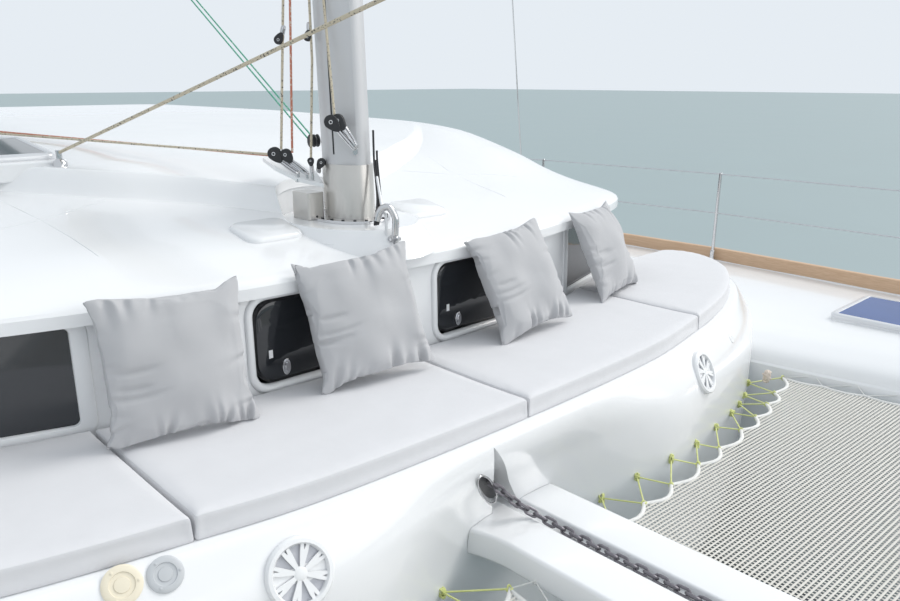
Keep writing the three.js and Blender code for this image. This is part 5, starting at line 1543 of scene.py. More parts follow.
for word, sign, turn in SIDES:
    x, y, half = DECK_HATCH
    level = hatch_level(y, 0.012)
    at = Matrix.Translation((x, y, level))
    add(
        "deck_hatch_coaming_" + word, turn([plate(square(half, 0.05), -0.05, 0, at, 0.004)]), rim_white,
        "gelcoat",
    )
    body = "deck_lid_" + word
    frame_skin = hatch_frame(at, half, 0.05, 0.012, DECK_HATCH_FORM)
    add(
        "deck_hatch_frame_" + word, turn([frame_skin]), frame_alloy, "blue_glass", "deck_hatch_" + word,
        body=body,
    )
    acrylic = plate(square(half - 0.0365, 0.014), 0.004, 0.0215, at, 0.002)
    add("deck_hatch_glass_" + word, turn([acrylic]), blue_acrylic, "blue_glass", body=body)
    hinges = []
    for side in (-0.16, 0.16):
        hinges.append(
            rod(
                (x + side - 0.03, y - half + 0.002, level + 0.014),
                (x + side + 0.03, y - half + 0.002, level + 0.014),
                0.0075, 14,
            )
        )
    add("deck_hatch_hinges_" + word, turn(hinges), rim_white, "blue_glass", body=body)
    x, y, half_x, half_y = ENGINE_HATCH
    level = hatch_level(y, 0.026)
    outline = rounded(-half_x, half_x, -half_y, half_y, 0.05)
    at = Matrix.Translation((x, y, level))
    add("engine_hatch_coaming_" + word, turn([plate(outline, -0.08, 0, at, 0.006)]), gelcoat, "gelcoat")
    add(
        "engine_hatch_lid_" + word, turn([plate(outline, 0.0003, 0.026, at, 0.008)]), gelcoat, "gelcoat",
        "engine_hatch_" + word, body="engine_lid_" + word,
    )

# Roof hatch: the same make of hatch in smoked acrylic, on the roof's coaming
ROOF_HATCH_FORM = [
    (0, 0.0004), (0, 0.014), (0.004, 0.021), (0.012, 0.025), (0.026, 0.025), (0.03, 0.021), (0.03, 0.0004)
]
frame_skin = hatch_frame(hatch_turn, 0.2475, 0.04, 0.01, ROOF_HATCH_FORM, ROOF_HATCH_HIGH)
add("roof_hatch_frame", [frame_skin], frame_alloy, "glass", "roof_hatch", body="roof_lid")
roof_glass = plate(
    square(0.217, 0.012), ROOF_HATCH_HIGH + 0.004, ROOF_HATCH_HIGH + 0.022, hatch_turn, 0.002
)
add("roof_hatch_glass", [roof_glass], smoked_glass, "glass", body="roof_lid")

# Loudspeakers in the front moulding: a white ring and eight white spokes over a grey cone
SPEAKERS = [(-0.974, 1.813), (1.122, 1.811)]
speaker_grey = surface(
    "speaker_grey", (0.56, 0.57, 0.61), 0.5, cloud=0.1, cloud_scale=20, grain=0.5, grain_scale=900
)


def disc_form(profile, at, sides=48):
    return skin([[tuple(at @ Vector((x, y, z))) for x, y in oval(r, r, sides)] for r, z in profile])


speaker_white, speaker_cone = [], []
for x, z in SPEAKERS:
    at = moulding_frame(x, z)
    ring = [
        (0.074, -0.012), (0.095, -0.012), (0.095, 0.004), (0.089, 0.011), (0.079, 0.012), (0.074, 0.006),
        (0.074, -0.012),
    ]
    verts, faces = disc_form(ring, at)
    speaker_white.append((verts, faces[:-2]))
    speaker_cone.append(disc_form([(0.078, -0.008), (0.078, -0.004), (0.05, -0.002), (0.03, -0.0015)], at))
    for k in range(8):
        spoke = at @ Matrix.Rotation(2 * math.pi * (k + 0.5) / 8, 4, "Z")
        outline = [
            (-0.0045, 0.012), (0.0045, 0.012), (0.011, 0.056), (0.0125, 0.077), (0.004, 0.077), (0, 0.06),
            (-0.004, 0.077), (-0.0125, 0.077), (-0.011, 0.056),
        ]
        verts, faces = plate(outline, 0.001, 0.0065, spoke)
        speaker_white.append((verts, faces))
    speaker_white.append(disc_form([(0.019, 0), (0.019, 0.006), (0.013, 0.0085), (0.004, 0.0092)], at, 32))
add("speaker_rings", speaker_white, white_plastic, "gelcoat")
add("speaker_cones", speaker_cone, speaker_grey, "gelcoat")

# Sockets in the moulding: a cream water filler, a grey deck socket and a small white vent
cream_plastic = surface("cream_plastic", (0.76, 0.7, 0.56), 0.4, cloud=0.03, cloud_scale=20)
grey_plastic = surface("grey_plastic", (0.5, 0.52, 0.54), 0.4, cloud=0.05, cloud_scale=20)
FLANGE = [
    (0.05, -0.004), (0.05, 0.003), (0.045, 0.006), (0.032, 0.006), (0.03, 0.003), (0.02, 0.0025),
    (0.019, 0.005), (0.006, 0.006),
]
for name, material, x, z, size in (
    ("water_filler", cream_plastic, -1.375, 1.905, 0.95),
    ("deck_socket", grey_plastic, -1.28, 1.9, 0.88),
    ("moulding_vent", white_plastic, 1.56, 1.84, 0.42),
):
    at = moulding_frame(x, z)
    made = [disc_form([(r * size, h * size) for r, h in FLANGE], at, 36)]
    if size > 0.5:
        for angle in circle(3):
            turn_at = at @ Matrix.Rotation(angle, 4, "Z")
            turn_at = turn_at @ Matrix.Translation((0.039 * size, 0, 0.006 * size))
            made.append(disc_form([(0.0035, -0.001), (0.0035, 0.0012), (0.0015, 0.002)], turn_at, 10))
    add(name, made, material, "gelcoat")

# Roof fittings: low moulded pads beside the mast, and fine seams round the non-slip panels
roof_pads = []
for sign in (1, -1):
    at = roof_frame(sign * 0.385, -0.86)
    roof_pads.append(plate(rounded(-0.12, 0.12, -0.1, 0.1, 0.05), -0.03, 0.018, at, 0.012))
add("roof_pads", roof_pads, gelcoat, "gelcoat", angle=60)
seam_grey = surface("seam_grey", (0.7, 0.72, 0.74), 0.5, cloud=0.05)
SEAMS = [
    [
        (-1.13, -0.1), (-1.117, -0.173), (-1.081, -0.284), (-1.048, -0.407), (-1.02, -0.617),
        (-1.004, -0.827),
    ],
    [(-1.4, -0.56), (-1.2, -0.467), (-1.048, -0.407), (-0.841, -0.323), (-0.77, -0.3)],
]
seams = []
for line in SEAMS:
    for sign in (1, -1):
        for (x0, y0), (x1, y1) in zip(line, line[1:]):
            path = [(x0 + (x1 - x0) * k / 8, y0 + (y1 - y0) * k / 8) for k in range(9)]
            seams.append(tube([(sign * x, y, roof_z(x, y) - 0.0002) for x, y in path], 0.0013, 6))
add("roof_seams", seams, seam_grey, "gelcoat", angle=60)

# Deck cleats: cast horn cleats at bow, middle and stern of both hulls
CLEAT_Y = [-5.3, 0.6, 4.55]
for word, sign, turn in SIDES:
    cleats = []
    for y in CLEAT_Y:
        x = rail_x(y) - 0.13
        z = deck_level(y, x - HULL_X)
        horn = curve(
            [
                (x, y - 0.12, z + 0.045), (x, y - 0.09, z + 0.052), (x, y, z + 0.048),
                (x, y + 0.09, z + 0.052), (x, y + 0.12, z + 0.045),
            ],
            5,
        )
        widths = [0.006 + 0.006 * math.sin(math.pi * k / (len(horn) - 1)) ** 0.5 for k in range(len(horn))]
        cleats.append(tube(horn, widths, 14))
        for foot in (-0.035, 0.035):
            cleats.append(
                turned(
                    (x, y + foot, z - 0.006), (x, y + foot, z + 0.047),
                    [(0, 0.02), (0.15, 0.018), (0.4, 0.01), (1, 0.009)],
                    16,
                )
            )
    add("deck_cleats_" + word, turn(cleats), steel, "steel")

# Hull windows: long dark panes let into the topsides, two a hull
hull_glass = surface(
    "hull_glass", (0.02, 0.024, 0.03), 0.08, cloud=0.1, Coat_Weight=0.6, Coat_Roughness=0.03
)
# From, to, height, half height
WINDOW_ROWS = [(-1.9, -0.7, 1.16, 0.13), (0.9, 2.3, 1.13, 0.13)]


# A point on the outboard topside at a place along the hull and a height
def topside(y, z):
    ring = [Vector(p) for p in hull_ring(y)]
    best = None
    for a, b in zip(ring, ring[1:]):
        if a.x > HULL_X and (a.z - z) * (b.z - z) <= 0 and a.z != b.z:
            share = (z - a.z) / (b.z - a.z)
            here = a.lerp(b, share)
            if best is None or here.x > best.x:
                best = here
    return best


for word, sign, turn in SIDES:
    panes = []
    for y0, y1, level, half in WINDOW_ROWS:
        grid = []
        for i in range(41):
            s = i / 40
            y = y0 + (y1 - y0) * s
            end = min(1, min(s, 1 - s) * (y1 - y0) / 0.12)
            high = half * math.sqrt(max(0.0, 1 - (1 - end) ** 2)) + 0.004
            column = []
            for j in range(9):
                z = level - high + 2 * high * j / 8
                out = 0.004 if 0 < j < 8 and 0 < i < 40 else -0.004
                here = topside(y, z)
                column.append((here.x + out, y, z))
            grid.append(column)
        verts, faces = skin(grid, ends=False, around=False)
        back = [(x - 0.012, y, z) for x, y, z in verts]
        count, rows, columns = len(verts), 9, 41
        shell = faces + [tuple(v + count for v in reversed(face)) for face in faces]
        rim = [i * rows for i in range(columns)] + [(columns - 1) * rows + j for j in range(1, rows)]
        rim += [i * rows + rows - 1 for i in range(columns - 2, -1, -1)]
        rim += [j for j in range(rows - 2, 0, -1)]
        for a, b in zip(rim, [*rim[1:], rim[0]]):
            shell.append((a, b, b + count, a + count))
        panes.append((verts + back, shell))
    add("hull_windows_" + word, turn(panes), hull_glass, "glass")

# Teak treads on the stern steps: bare planks laid with narrow gaps between them
# From, to and height of each step's tread
treads_y = [(5.38, 5.7, 1.25), (5.75, 6.07, 0.85), (6.12, 6.44, 0.42)]
for word, sign, turn in SIDES:
    treads = []
    for y0, y1, z in treads_y:
        for k in range(6):
            near = y0 + (y1 - y0) * k / 6
            far = near + (y1 - y0) / 6 - 0.005
            half = min(0.38, along(HULL, y1)[0] * 0.62)
            at = Matrix.Translation((HULL_X, (near + far) / 2, z))
            treads.append(
                plate(
                    rounded(-half, half, (near - far) / 2, (far - near) / 2, 0.006), -0.004, 0.01, at,
                    0.0015,
                )
            )
    add("stern_treads_" + word, turn(treads), bare_teak, "teak")

# Mast: a raked anodised oval tube with a collar above its foot, a black strip of painted shade for a
# halyard groove down the starboard side, one pair of spreaders, hound tangs, a cap plate and the
# gooseneck's bracket.
MAST_RAKE = 0.035
MAST_HALF = (0.085, 0.125)
MAST_FOOT = MAST_FOOT_Z + 0.012
COLLAR_TOP = MAST_FOOT_Z + 0.225
HOUND_Z = 14.5
MAST_TOP_Z = 18.6
SPREADER_Z = 9.2
BOOM_Z = 3.72


def mast_y(z):
    return MAST_Y + (z - MAST_FOOT_Z) * MAST_RAKE


# The section is an oval with two flat panels in front of the halyard grooves
PANEL = (math.radians(198), math.radians(248))


def mast_ring(z, share):
    ring = []
    for angle in circle(80):
        flip = math.cos(angle) > 0
        turned_angle = (math.pi - angle) % (2 * math.pi) if flip else angle
        x, y = math.cos(turned_angle), math.sin(turned_angle)
        if PANEL[0] < turned_angle < PANEL[1]:
            part = (turned_angle - PANEL[0]) / (PANEL[1] - PANEL[0])
            x = math.cos(PANEL[0]) * (1 - part) + math.cos(PANEL[1]) * part
            y = math.sin(PANEL[0]) * (1 - part) + math.sin(PANEL[1]) * part
        x = -x if flip else x
        ring.append((x * MAST_HALF[0] * share, mast_y(z) + y * MAST_HALF[1] * share, z))
    return ring


def oval_mast_ring(z, share):
    return [(x, mast_y(z) + y, z) for x, y in oval(MAST_HALF[0] * share, MAST_HALF[1] * share, 80)]


GOOSENECK_Y = mast_y(BOOM_Z) + MAST_HALF[1] + 0.075
collar_rows = [
    (MAST_FOOT + 0.0003, 1.03), (COLLAR_TOP - 0.004, 1.03), (COLLAR_TOP, 1.02), (COLLAR_TOP, 0.97)
]
mast_rows = [(COLLAR_TOP - 0.02, 1.0), (COLLAR_TOP + 0.001, 1.0)]
mast_rows += [(3.2 + 1.13 * k, 1.0) for k in range(11)] + [
    (HOUND_Z, 1.0), (15.5, 0.94), (17.0, 0.82), (MAST_TOP_Z, 0.7)
]
brushed_mast = surface(
    "mast_alloy", (0.6, 0.6, 0.61), 0.42, 0.35, cloud=0.05, cloud_scale=3, grain=0.15, grain_scale=200
)
collar_alloy = surface(
    "collar_alloy", (0.62, 0.6, 0.57), 0.3, 0.7, cloud=0.1, cloud_scale=6, grain=0.1, grain_scale=150
)
mast_parts = [skin([mast_ring(z, share) for z, share in mast_rows])]
spar_y = mast_y(SPREADER_Z)
for sign in (1, -1):
    tip = (sign * 1.15, spar_y + 0.48, SPREADER_Z + 0.04)
    rings = []
    for share in (0, 0.15, 0.5, 0.85, 1):
        at = Vector((sign * 0.04, spar_y + 0.04, SPREADER_Z)).lerp(Vector(tip), share)
        long, thick = 0.034 - 0.012 * share, 0.018 - 0.006 * share
        ahead = (Vector(tip) - Vector((sign * 0.04, spar_y + 0.04, SPREADER_Z))).normalized()
        flat = Vector((0, 0, 1)).cross(ahead).normalized()
        rings.append([tuple(at + flat * p + Vector((0, 0, q))) for p, q in oval(long, thick, 24)])
    mast_parts.append(skin(rings))
    mast_parts.append(
        slab_box(
            -0.03, 0.03, mast_y(BOOM_Z) + 0.08, GOOSENECK_Y + 0.03, BOOM_Z + sign * 0.095 - 0.008,
            BOOM_Z + sign * 0.095 + 0.008,
        )
    )
mast_parts.append(rod((0, GOOSENECK_Y, BOOM_Z - 0.1), (0, GOOSENECK_Y, BOOM_Z + 0.1), 0.012, 24))
hound_y = mast_y(HOUND_Z) + 0.02
mast_parts.append(
    slab_box(-0.135, 0.135, hound_y - 0.025, hound_y + 0.025, HOUND_Z - 0.015, HOUND_Z + 0.015)
)
cap_y = mast_y(MAST_TOP_Z)
mast_parts.append(slab_box(-0.05, 0.05, cap_y - 0.11, cap_y + 0.11, MAST_TOP_Z - 0.01, MAST_TOP_Z + 0.012))
add("mast_tube", mast_parts, brushed_mast, "aluminium", "mast", angle=12)
collar = skin([oval_mast_ring(z, share) for z, share in collar_rows])
add("mast_collar", [collar], collar_alloy, "aluminium", angle=30)

# Halyard groove: not cut into the tube; a black strip half sunk in the starboard side is painted shade for
# the dark slot
groove_angle = math.radians(193)
groove = []
for z in [COLLAR_TOP + 0.04] + [3.0 + 1.4 * k for k in range(9)]:
    x, y = MAST_HALF[0] * math.cos(groove_angle), MAST_HALF[1] * math.sin(groove_angle)
    groove.append((x + 0.001, mast_y(z) + y, z))
add("mast_groove", [tube(groove, 0.0042, 8)], black_plastic, "aluminium", angle=60)

# Mast step: a stainless flange with black socket screws, and a bent stainless box behind it under
# a small shelf for the turning blocks
flange_rings = [
    [(x, MAST_Y + y, MAST_FOOT_Z + z) for x, y in oval(0.15 - inset, 0.19 - inset, 64)]
    for inset, z in ((0, 0.0003), (0, 0.009), (0.003, 0.012))
]
step_box = plate(
    rounded(-0.04, 0.04, -0.06, 0.06, 0.012), 0.0003, 0.11, Matrix.Translation((-0.13, -0.77, MAST_FOOT_Z)),
    0.002,
)
add("mast_flange", [skin(flange_rings)], steel, "steel", "mast_step")
add("step_box", [step_box], collar_alloy, "steel")
screw_spots = []
for angle in circle(20):
    at = Matrix.Translation(
        (0.136 * math.cos(angle), MAST_Y + 0.174 * math.sin(angle), MAST_FOOT_Z + 0.0121)
    )
    screw_spots.append(at)
screw_form = skin(
    [[(x, y, z) for x, y in oval(r, r, 12)] for r, z in ((0.0065, 0), (0.0065, 0.0035), (0.0055, 0.0045))]
)
fit(repeat("flange_screws", screw_form, screw_spots, black_plastic), "steel")
shelf_corners = [
    (-0.225, -0.685, 2.71), (-0.16, -0.745, 2.665), (-0.097, -0.84, 2.645), (-0.05, -0.72, 2.68),
    (-0.08, -0.53, 2.735), (-0.2, -0.55, 2.735),
]
shelf = skin([[(x, y, z - 0.016) for x, y, z in shelf_corners], shelf_corners])
add("block_shelf", [shelf], gelcoat, "gelcoat")


# Frame with its Z axis towards the given side, standing upright
def facing(point, toward, lean=0.0):
    out = Vector(toward).normalized()
    side = Vector((0, 0, 1)).cross(out).normalized()
    return frame_on(point, side, out) @ Matrix.Rotation(lean, 4, "Z")


# An egg-shaped outline whose narrow end points down
def egg(radius):
    outline = []
    for x, y in oval(1, 1, 36):
        outline.append((x * radius * (1 + 0.25 * y if y < 0 else 1), y * radius * (1.75 if y < 0 else 1)))
    return outline


# A pulley block: two black cheeks around a sheave, with a steel bearing cap, held by a shackle
def block_shapes(at, radius, tail):
    black, bright = [], []
    cheek = egg(radius)
    for low in (-0.62, 0.3):
        black.append(plate(cheek, low * radius, (low + 0.32) * radius, at, radius * 0.1))
    black.append(plate(oval(radius * 0.86, radius * 0.86, 28), -0.3 * radius, 0.3 * radius, at, 0.002))
    cap_ring = [at @ Vector((x, y, 0.64 * radius)) for x, y in oval(radius * 0.24, radius * 0.24, 20)]
    bright.append(tube(cap_ring, radius * 0.08, 8, closed=True))
    neck = at @ Vector((0, -radius * 1.5, 0))
    end = Vector(tail)
    side = at.to_3x3() @ Vector((0, 0, 1)) * radius * 0.34
    across = at.to_3x3() @ Vector((1, 0, 0)) * radius * 0.36
    for way in (side, across):
        middle = neck.lerp(end, 0.5)
        bow = [
            neck + way * 0.9, middle + way, end + way * 0.7, end - way * 0.7, middle - way, neck - way * 0.9
        ]
        bright.append(tube(curve(bow, 3), 0.0042, 8))
    bright.append(rod(neck - side * 1.5, neck + side * 1.5, 0.0042, 8))
    bright.append(rod(end - across * 1.2, end + across * 1.2, 0.0045, 8))
    return black, bright


STARBOARD_AHEAD = (-0.686, -0.728, 0.0)
# A block's place, its radius, where its shackle holds, its lean
BLOCKS = [
    ((-0.218, -0.676, 2.762), 0.026, (-0.152, -0.738, 2.684), 0.7),
    ((-0.183, -0.705, 2.758), 0.023, (-0.126, -0.765, 2.682), 0.6),
    ((-0.121, -0.79, 2.735), 0.013, (-0.113, -0.785, 2.684), 0.1),
    ((-0.1, -0.835, 2.73), 0.017, (-0.1, -0.812, 2.69), -0.5),
    ((-0.132, -0.962, 2.895), 0.027, (-0.062, -1.012, 2.795), 0.75),
    ((-0.112, -0.975, 2.9), 0.025, (-0.058, -1.014, 2.8), 0.65),
    ((-0.186, -0.706, 3.2), 0.018, (-0.17, -0.72, 3.25), 2.6),
    ((-0.105, -0.786, 3.21), 0.016, (-0.1, -0.79, 3.26), 2.9),
]
black_parts, bright_parts = [], []
for point, radius, tail, lean in BLOCKS:
    black, bright = block_shapes(facing(point, STARBOARD_AHEAD, lean), radius, tail)
    black_parts += black
    bright_parts += bright
pad_eye = facing((-0.055, -1.0, 2.785), STARBOARD_AHEAD)
bright_parts.append(plate(oval(0.011, 0.022, 20), -0.034, -0.018, pad_eye, 0.001))
for foot, top in (
    ((-0.15, -0.738, 2.655), 2.684), ((-0.125, -0.765, 2.652), 2.682), ((-0.112, -0.785, 2.65), 2.684)
):
    bright_parts.append(rod(foot, (foot[0], foot[1], top), 0.0055, 10))
    bright_parts.append(
        rod((foot[0], foot[1], foot[2] - 0.008), (foot[0], foot[1], foot[2] + 0.006), 0.013, 16)
    )
add("mast_blocks", black_parts, black_plastic, "steel")
add("block_shackles", bright_parts, steel, "steel")


# Braided rope: a pale cover with darker flecks along it
def braid(name, color, fleck, share=0.62):
    made = surface(name, color, 0.8, cloud=0.06, cloud_scale=40, grain=0.8, grain_scale=700)
    above = shader_node(
        made, "Math", {0: noise_in(made, 130), 1: share}, operation="GREATER_THAN"
    ).outputs["Value"]
    feed(made, shader_of(made), {"Base Color": mixed(made, above, base_of(made), fleck)})
    return made


cream_rope = braid("cream_rope", (0.62, 0.55, 0.42), (0.12, 0.11, 0.1))
red_rope = braid("red_rope", (0.6, 0.22, 0.15), (0.7, 0.6, 0.5), 0.58)
green_rope = braid("green_rope", (0.12, 0.42, 0.3), (0.5, 0.6, 0.5), 0.62)


# Halyards and control lines: taut braided ropes from the mast to the blocks and aft over the roof
def over_roof(points, lift=0.012):
    return [(x, y, roof_z(x, y) + lift) for x, y in points]


SHEET_LEAD = (-0.855, -0.075)
ROPES = [
    (
        "halyard_cream", cream_rope, 0.0052,
        [(-0.197, -0.695, 2.778), (-0.167, -0.722, 3.346), (-0.089, -0.79, 4.4)],
    ),
    (
        "halyard_red", red_rope, 0.0048,
        [(-0.165, -0.725, 2.765), (-0.148, -0.741, 3.346), (-0.092, -0.79, 4.8)],
    ),
    (
        "halyard_inner", cream_rope, 0.005,
        [(-0.121, -0.79, 2.72), (-0.099, -0.8, 3.125), (-0.089, -0.78, 4.3)],
    ),
    (
        "halyard_groove", cream_rope, 0.005,
        [(-0.125, -0.975, 2.9), (-0.1, -0.895, 3.35), (-0.089, -0.85, 4.6)],
    ),
    (
        "line_cream_aft", cream_rope, 0.005,
        [(-0.24, -0.665, 2.76), *over_roof([(-0.82, 0.87), (-0.89, 1.9)])],
    ),
    (
        "line_red_aft", red_rope, 0.0042,
        [(-0.2, -0.69, 2.75), *over_roof([(-0.81, 0.9), (-0.83, 1.9)], 0.018)],
    ),
    ("jib_sheet", cream_rope, 0.0065, [(*SHEET_LEAD, 2.765), (-0.03, -4.87, 4.1)]),
]
for name, material, radius, points in ROPES:
    add(name, [tube([Vector(p) for p in points], radius, 8)], material, "steel", angle=60)
sheet_lead = [
    turned(
        (*SHEET_LEAD, roof_z(*SHEET_LEAD) - 0.004), (*SHEET_LEAD, 2.775),
        [(0, 0.03), (0.3, 0.026), (0.5, 0.012), (1, 0.012)],
        20,
    )
]
add("sheet_lead", sheet_lead, steel, "steel")

# Vang: two green lines between a block at the mast's foot and the boom, which swing with the boom
BOOM_RISE = 0.03
VANG_EYE_Z = 2.8
VANG_FOOT = Vector((0, GOOSENECK_Y, VANG_EYE_Z))
VANG_TOP = Vector((0, 0.69, BOOM_Z + (0.69 - GOOSENECK_Y) * BOOM_RISE - 0.128))
vang = [
    tube([VANG_FOOT + Vector((x, 0.01, 0)), VANG_TOP + Vector((x, -0.01, 0))], 0.0035, 8)
    for x in (-0.014, 0.014)
]
add("vang_lines", vang, green_rope, "steel", angle=60, body="boom_and_bag")
vang_ends = []
for place in (VANG_FOOT, VANG_TOP):
    at = facing(place, (1, 0, 0))
    for x in (-0.021, -0.003, 0.015):
        vang_ends.append(plate(oval(0.021, 0.027, 28), x, x + 0.006, at, 0.0015))
add("vang_blocks", vang_ends, black_plastic, "steel", body="boom_and_bag")
vang_eye = [
    slab_box(
        -0.004, 0.004, mast_y(VANG_EYE_Z) + 0.118, mast_y(VANG_EYE_Z) + 0.165, VANG_EYE_Z - 0.015,
        VANG_EYE_Z + 0.015,
    )
]
vang_eye.append(
    tube(
        [
            (0, mast_y(VANG_EYE_Z) + 0.16 + 0.013 * math.cos(a), VANG_EYE_Z + 0.013 * math.sin(a))
            for a in circle(20)
        ],
        0.004, 8, closed=True,
    )
)
add("vang_eye", vang_eye, steel, "aluminium")

# Rope organiser and winch on the roof by the helm: black clutches and a polished self-tailing drum
clutch_parts = []
for k in range(4):
    x = -0.95 + 0.06 * k
    at = Matrix.Translation((x, 2.0, roof_z(x, 2.0)))
    clutch_parts.append(plate(rounded(-0.026, 0.026, -0.11, 0.11, 0.01), -0.01, 0.055, at, 0.006))
    clutch_parts.append(plate(rounded(-0.014, 0.014, -0.1, 0.03, 0.008), 0.052, 0.07, at, 0.004))
add("rope_clutches", clutch_parts, black_plastic, "gelcoat")
WINCH_AT = (-0.86, 2.4)
winch_z = roof_z(*WINCH_AT) - 0.006
WINCH_FORM = [
    (0, 0.085), (0.08, 0.085), (0.12, 0.07), (0.2, 0.062), (0.62, 0.055), (0.7, 0.07), (0.78, 0.072),
    (0.82, 0.06), (0.87, 0.07), (0.93, 0.068), (1, 0.03),
]
add(
    "roof_winch", [turned((*WINCH_AT, winch_z), (*WINCH_AT, winch_z + 0.2), WINCH_FORM, 40)], steel, "steel"
)

# Cable gland: a polished swan-neck tube in front of the mast, with the mast's black cables led into it
swan = curve([
    (-0.045, -1.222, 2.44), (-0.043, -1.226, 2.5), (-0.042, -1.226, 2.545), (-0.053, -1.215, 2.578),
    (-0.067, -1.203, 2.588), (-0.083, -1.187, 2.573), (-0.091, -1.178, 2.535),
], 6)
swan_foot = turned(
    (-0.045, -1.222, 2.462), (-0.045, -1.222, 2.478), [(0, 0.026), (0.6, 0.026), (1, 0.016)], 28
)
add("cable_gland", [tube(swan, 0.0135, 20), swan_foot], steel, "steel")
cable_runs = []
for shift, top in ((-0.008, 2.86), (0.0, 2.72), (0.008, 2.78)):
    run = [
        (-0.091, -1.178, 2.55), (-0.09, -1.17, 2.52), (-0.06, -1.14, 2.53), (0.0, -1.075, 2.6),
        (0.025, -1.035, 2.68),
    ]
    run += [(0.03, -1.022, 2.74), (0.034, -1.016, top)]
    cable_runs.append(tube(curve([(x + shift, y, z) for x, y, z in run], 6), 0.0042, 8))
white_cable = curve(
    [
        (-0.066, -1.2, 2.462), (-0.066, -1.2, 2.54), (-0.06, -1.19, 2.56), (-0.02, -1.12, 2.57),
        (0.02, -1.04, 2.68),
    ],
    6,
)
add("white_cable", [tube(white_cable, 0.0055, 10)], white_plastic, "aluminium", angle=60)
add("mast_cables", cable_runs, black_plastic, "aluminium", angle=60)

# Boom: an oval alloy tube on the gooseneck's pin, closed by a cast end cap


def boom_ring(distance, share):
    return [
        (x * share, GOOSENECK_Y + distance, BOOM_Z + distance * BOOM_RISE + z * share)
        for x, z in oval(0.075, 0.125, 40)
    ]


boom_rows = [(0.06, 0.8), (0.07, 0.97), (0.09, 1.0), (4.8, 1.0), (4.87, 0.97), (4.9, 0.82)]
boom_tube = piece("boom_tube", [skin([boom_ring(d, share) for d, share in boom_rows])], anodised, 35)
fit(boom_tube, "aluminium", "boom", body="boom_and_bag")
knuckle_ring = [(0.034, -0.08), (0.034, 0.08), (0.0135, 0.08), (0.0135, -0.08), (0.034, -0.08)]
knuckle = skin(
    [
        [(r * math.cos(a), GOOSENECK_Y + r * math.sin(a), BOOM_Z + z) for a in circle(32)]
        for r, z in knuckle_ring
    ],
    ends=False,
)
tongue = slab_box(-0.02, 0.02, GOOSENECK_Y + 0.028, GOOSENECK_Y + 0.09, BOOM_Z - 0.06, BOOM_Z + 0.06)
add("boom_knuckle", [knuckle, tongue], cast_alloy, "aluminium", body="boom_and_bag")

# Sail bag: a zipped canvas bag with the lowered mainsail in it; it sags between its ties
BAG = [
    (0.26, 0.126, 0.76, 0.13), (0.7, 0.126, 0.64, 0.17), (2.2, 0.126, 0.48, 0.165),
    (3.9, 0.126, 0.33, 0.13), (4.75, 0.126, 0.23, 0.08),
]
BAG_FORM = [
    (-0.45, 0), (0.45, 0), (0.98, 0.33), (0.76, 0.8), (0.15, 1), (-0.15, 1), (-0.76, 0.8), (-0.98, 0.33)
]


def woven(name, color, weave, relief):
    made = surface(name, color, 0.85, cloud=0.035, cloud_scale=9, Sheen_Weight=0.15, Sheen_Roughness=0.5)
    broad = bump(made, noise_in(made, 7, 3), 0.25, 0.01)
    fine = bump(made, noise_in(made, weave, 3), relief, 0.0012)
    feed(made, fine, {"Normal": broad.outputs["Normal"]})
    feed(made, shader_of(made), {"Normal": fine.outputs["Normal"]})
    return made


bag_canvas = woven("bag_canvas", (0.5, 0.46, 0.4), 500, 0.5)
bag_rings = []
for k in range(91):
    distance = 0.262 + (4.748 - 0.262) * k / 90
    foot, top, half = along(BAG, distance)
    tie = 0.5 - 0.5 * math.cos(2 * math.pi * distance / 0.9)
    ring = []
    for p in curve([(x, z, 0) for x, z in BAG_FORM], 6, closed=True):
        fold = 0.006 * noise.noise(Vector((p.x * 2, p.y * 3, distance * 4)))
        wide = half * p.x * (0.95 + 0.045 * tie) + fold
        level = foot + (top - foot) * max(p.y, 0) * (0.985 + 0.012 * tie) + 0.001
        ring.append((wide, GOOSENECK_Y + distance, BOOM_Z + distance * BOOM_RISE + level))
    bag_rings.append(ring)
bag = piece("sail_bag_cover", [skin(bag_rings)], bag_canvas, 60)
fit(bag, "bag", "sail_bag", body="boom_and_bag")

# Forestay: wire with the headsail rolled around it in a spiral, above the furling drum
sailcloth = surface(
    "sailcloth", (0.78, 0.77, 0.72), 0.7, cloud=0.04, cloud_scale=5, grain=0.3, grain_scale=300
)
stay_top = Vector((0, mast_y(HOUND_Z + 0.3) - MAST_HALF[1] * 0.98, HOUND_Z + 0.3))
stay_foot = Vector((0, CROSSBEAM_Y, STRIKER_Z + 0.0155))
stay_turn = (stay_top - stay_foot).to_track_quat("Z", "Y")
ROLL = [(0.03, 0.045), (0.1, 0.052), (0.3, 0.069), (0.6, 0.052), (0.93, 0.03)]
roll_rings = []
for k in range(221):
    share = 0.03 + 0.9 * k / 220
    radius = along(ROLL, share)[0]
    ring = []
    for angle in circle(20):
        lap = ((angle / (2 * math.pi)) + share * 26) % 1
        r = radius * (0.93 + 0.07 * (1 - lap) ** 0.5)
        out = stay_turn @ Vector((r * math.cos(angle), r * math.sin(angle), 0))
        ring.append(tuple(stay_foot.lerp(stay_top, share) + out))
    roll_rings.append(ring)
add("rolled_headsail", [skin(roll_rings)], sailcloth, "sailcloth", "forestay", angle=50)
add("forestay_wire", [rod(stay_foot, stay_top, 0.006, 10)], wire_rope, "steel")
DRUM = [
    (0, 0.03), (0.05, 0.088), (0.2, 0.088), (0.25, 0.06), (0.7, 0.06), (0.75, 0.088), (0.92, 0.088),
    (1, 0.03),
]
drum = turned(stay_foot.lerp(stay_top, 0.0142), stay_foot.lerp(stay_top, 0.0278), DRUM, 40)
add("furling_drum", [drum], black_plastic, "steel")

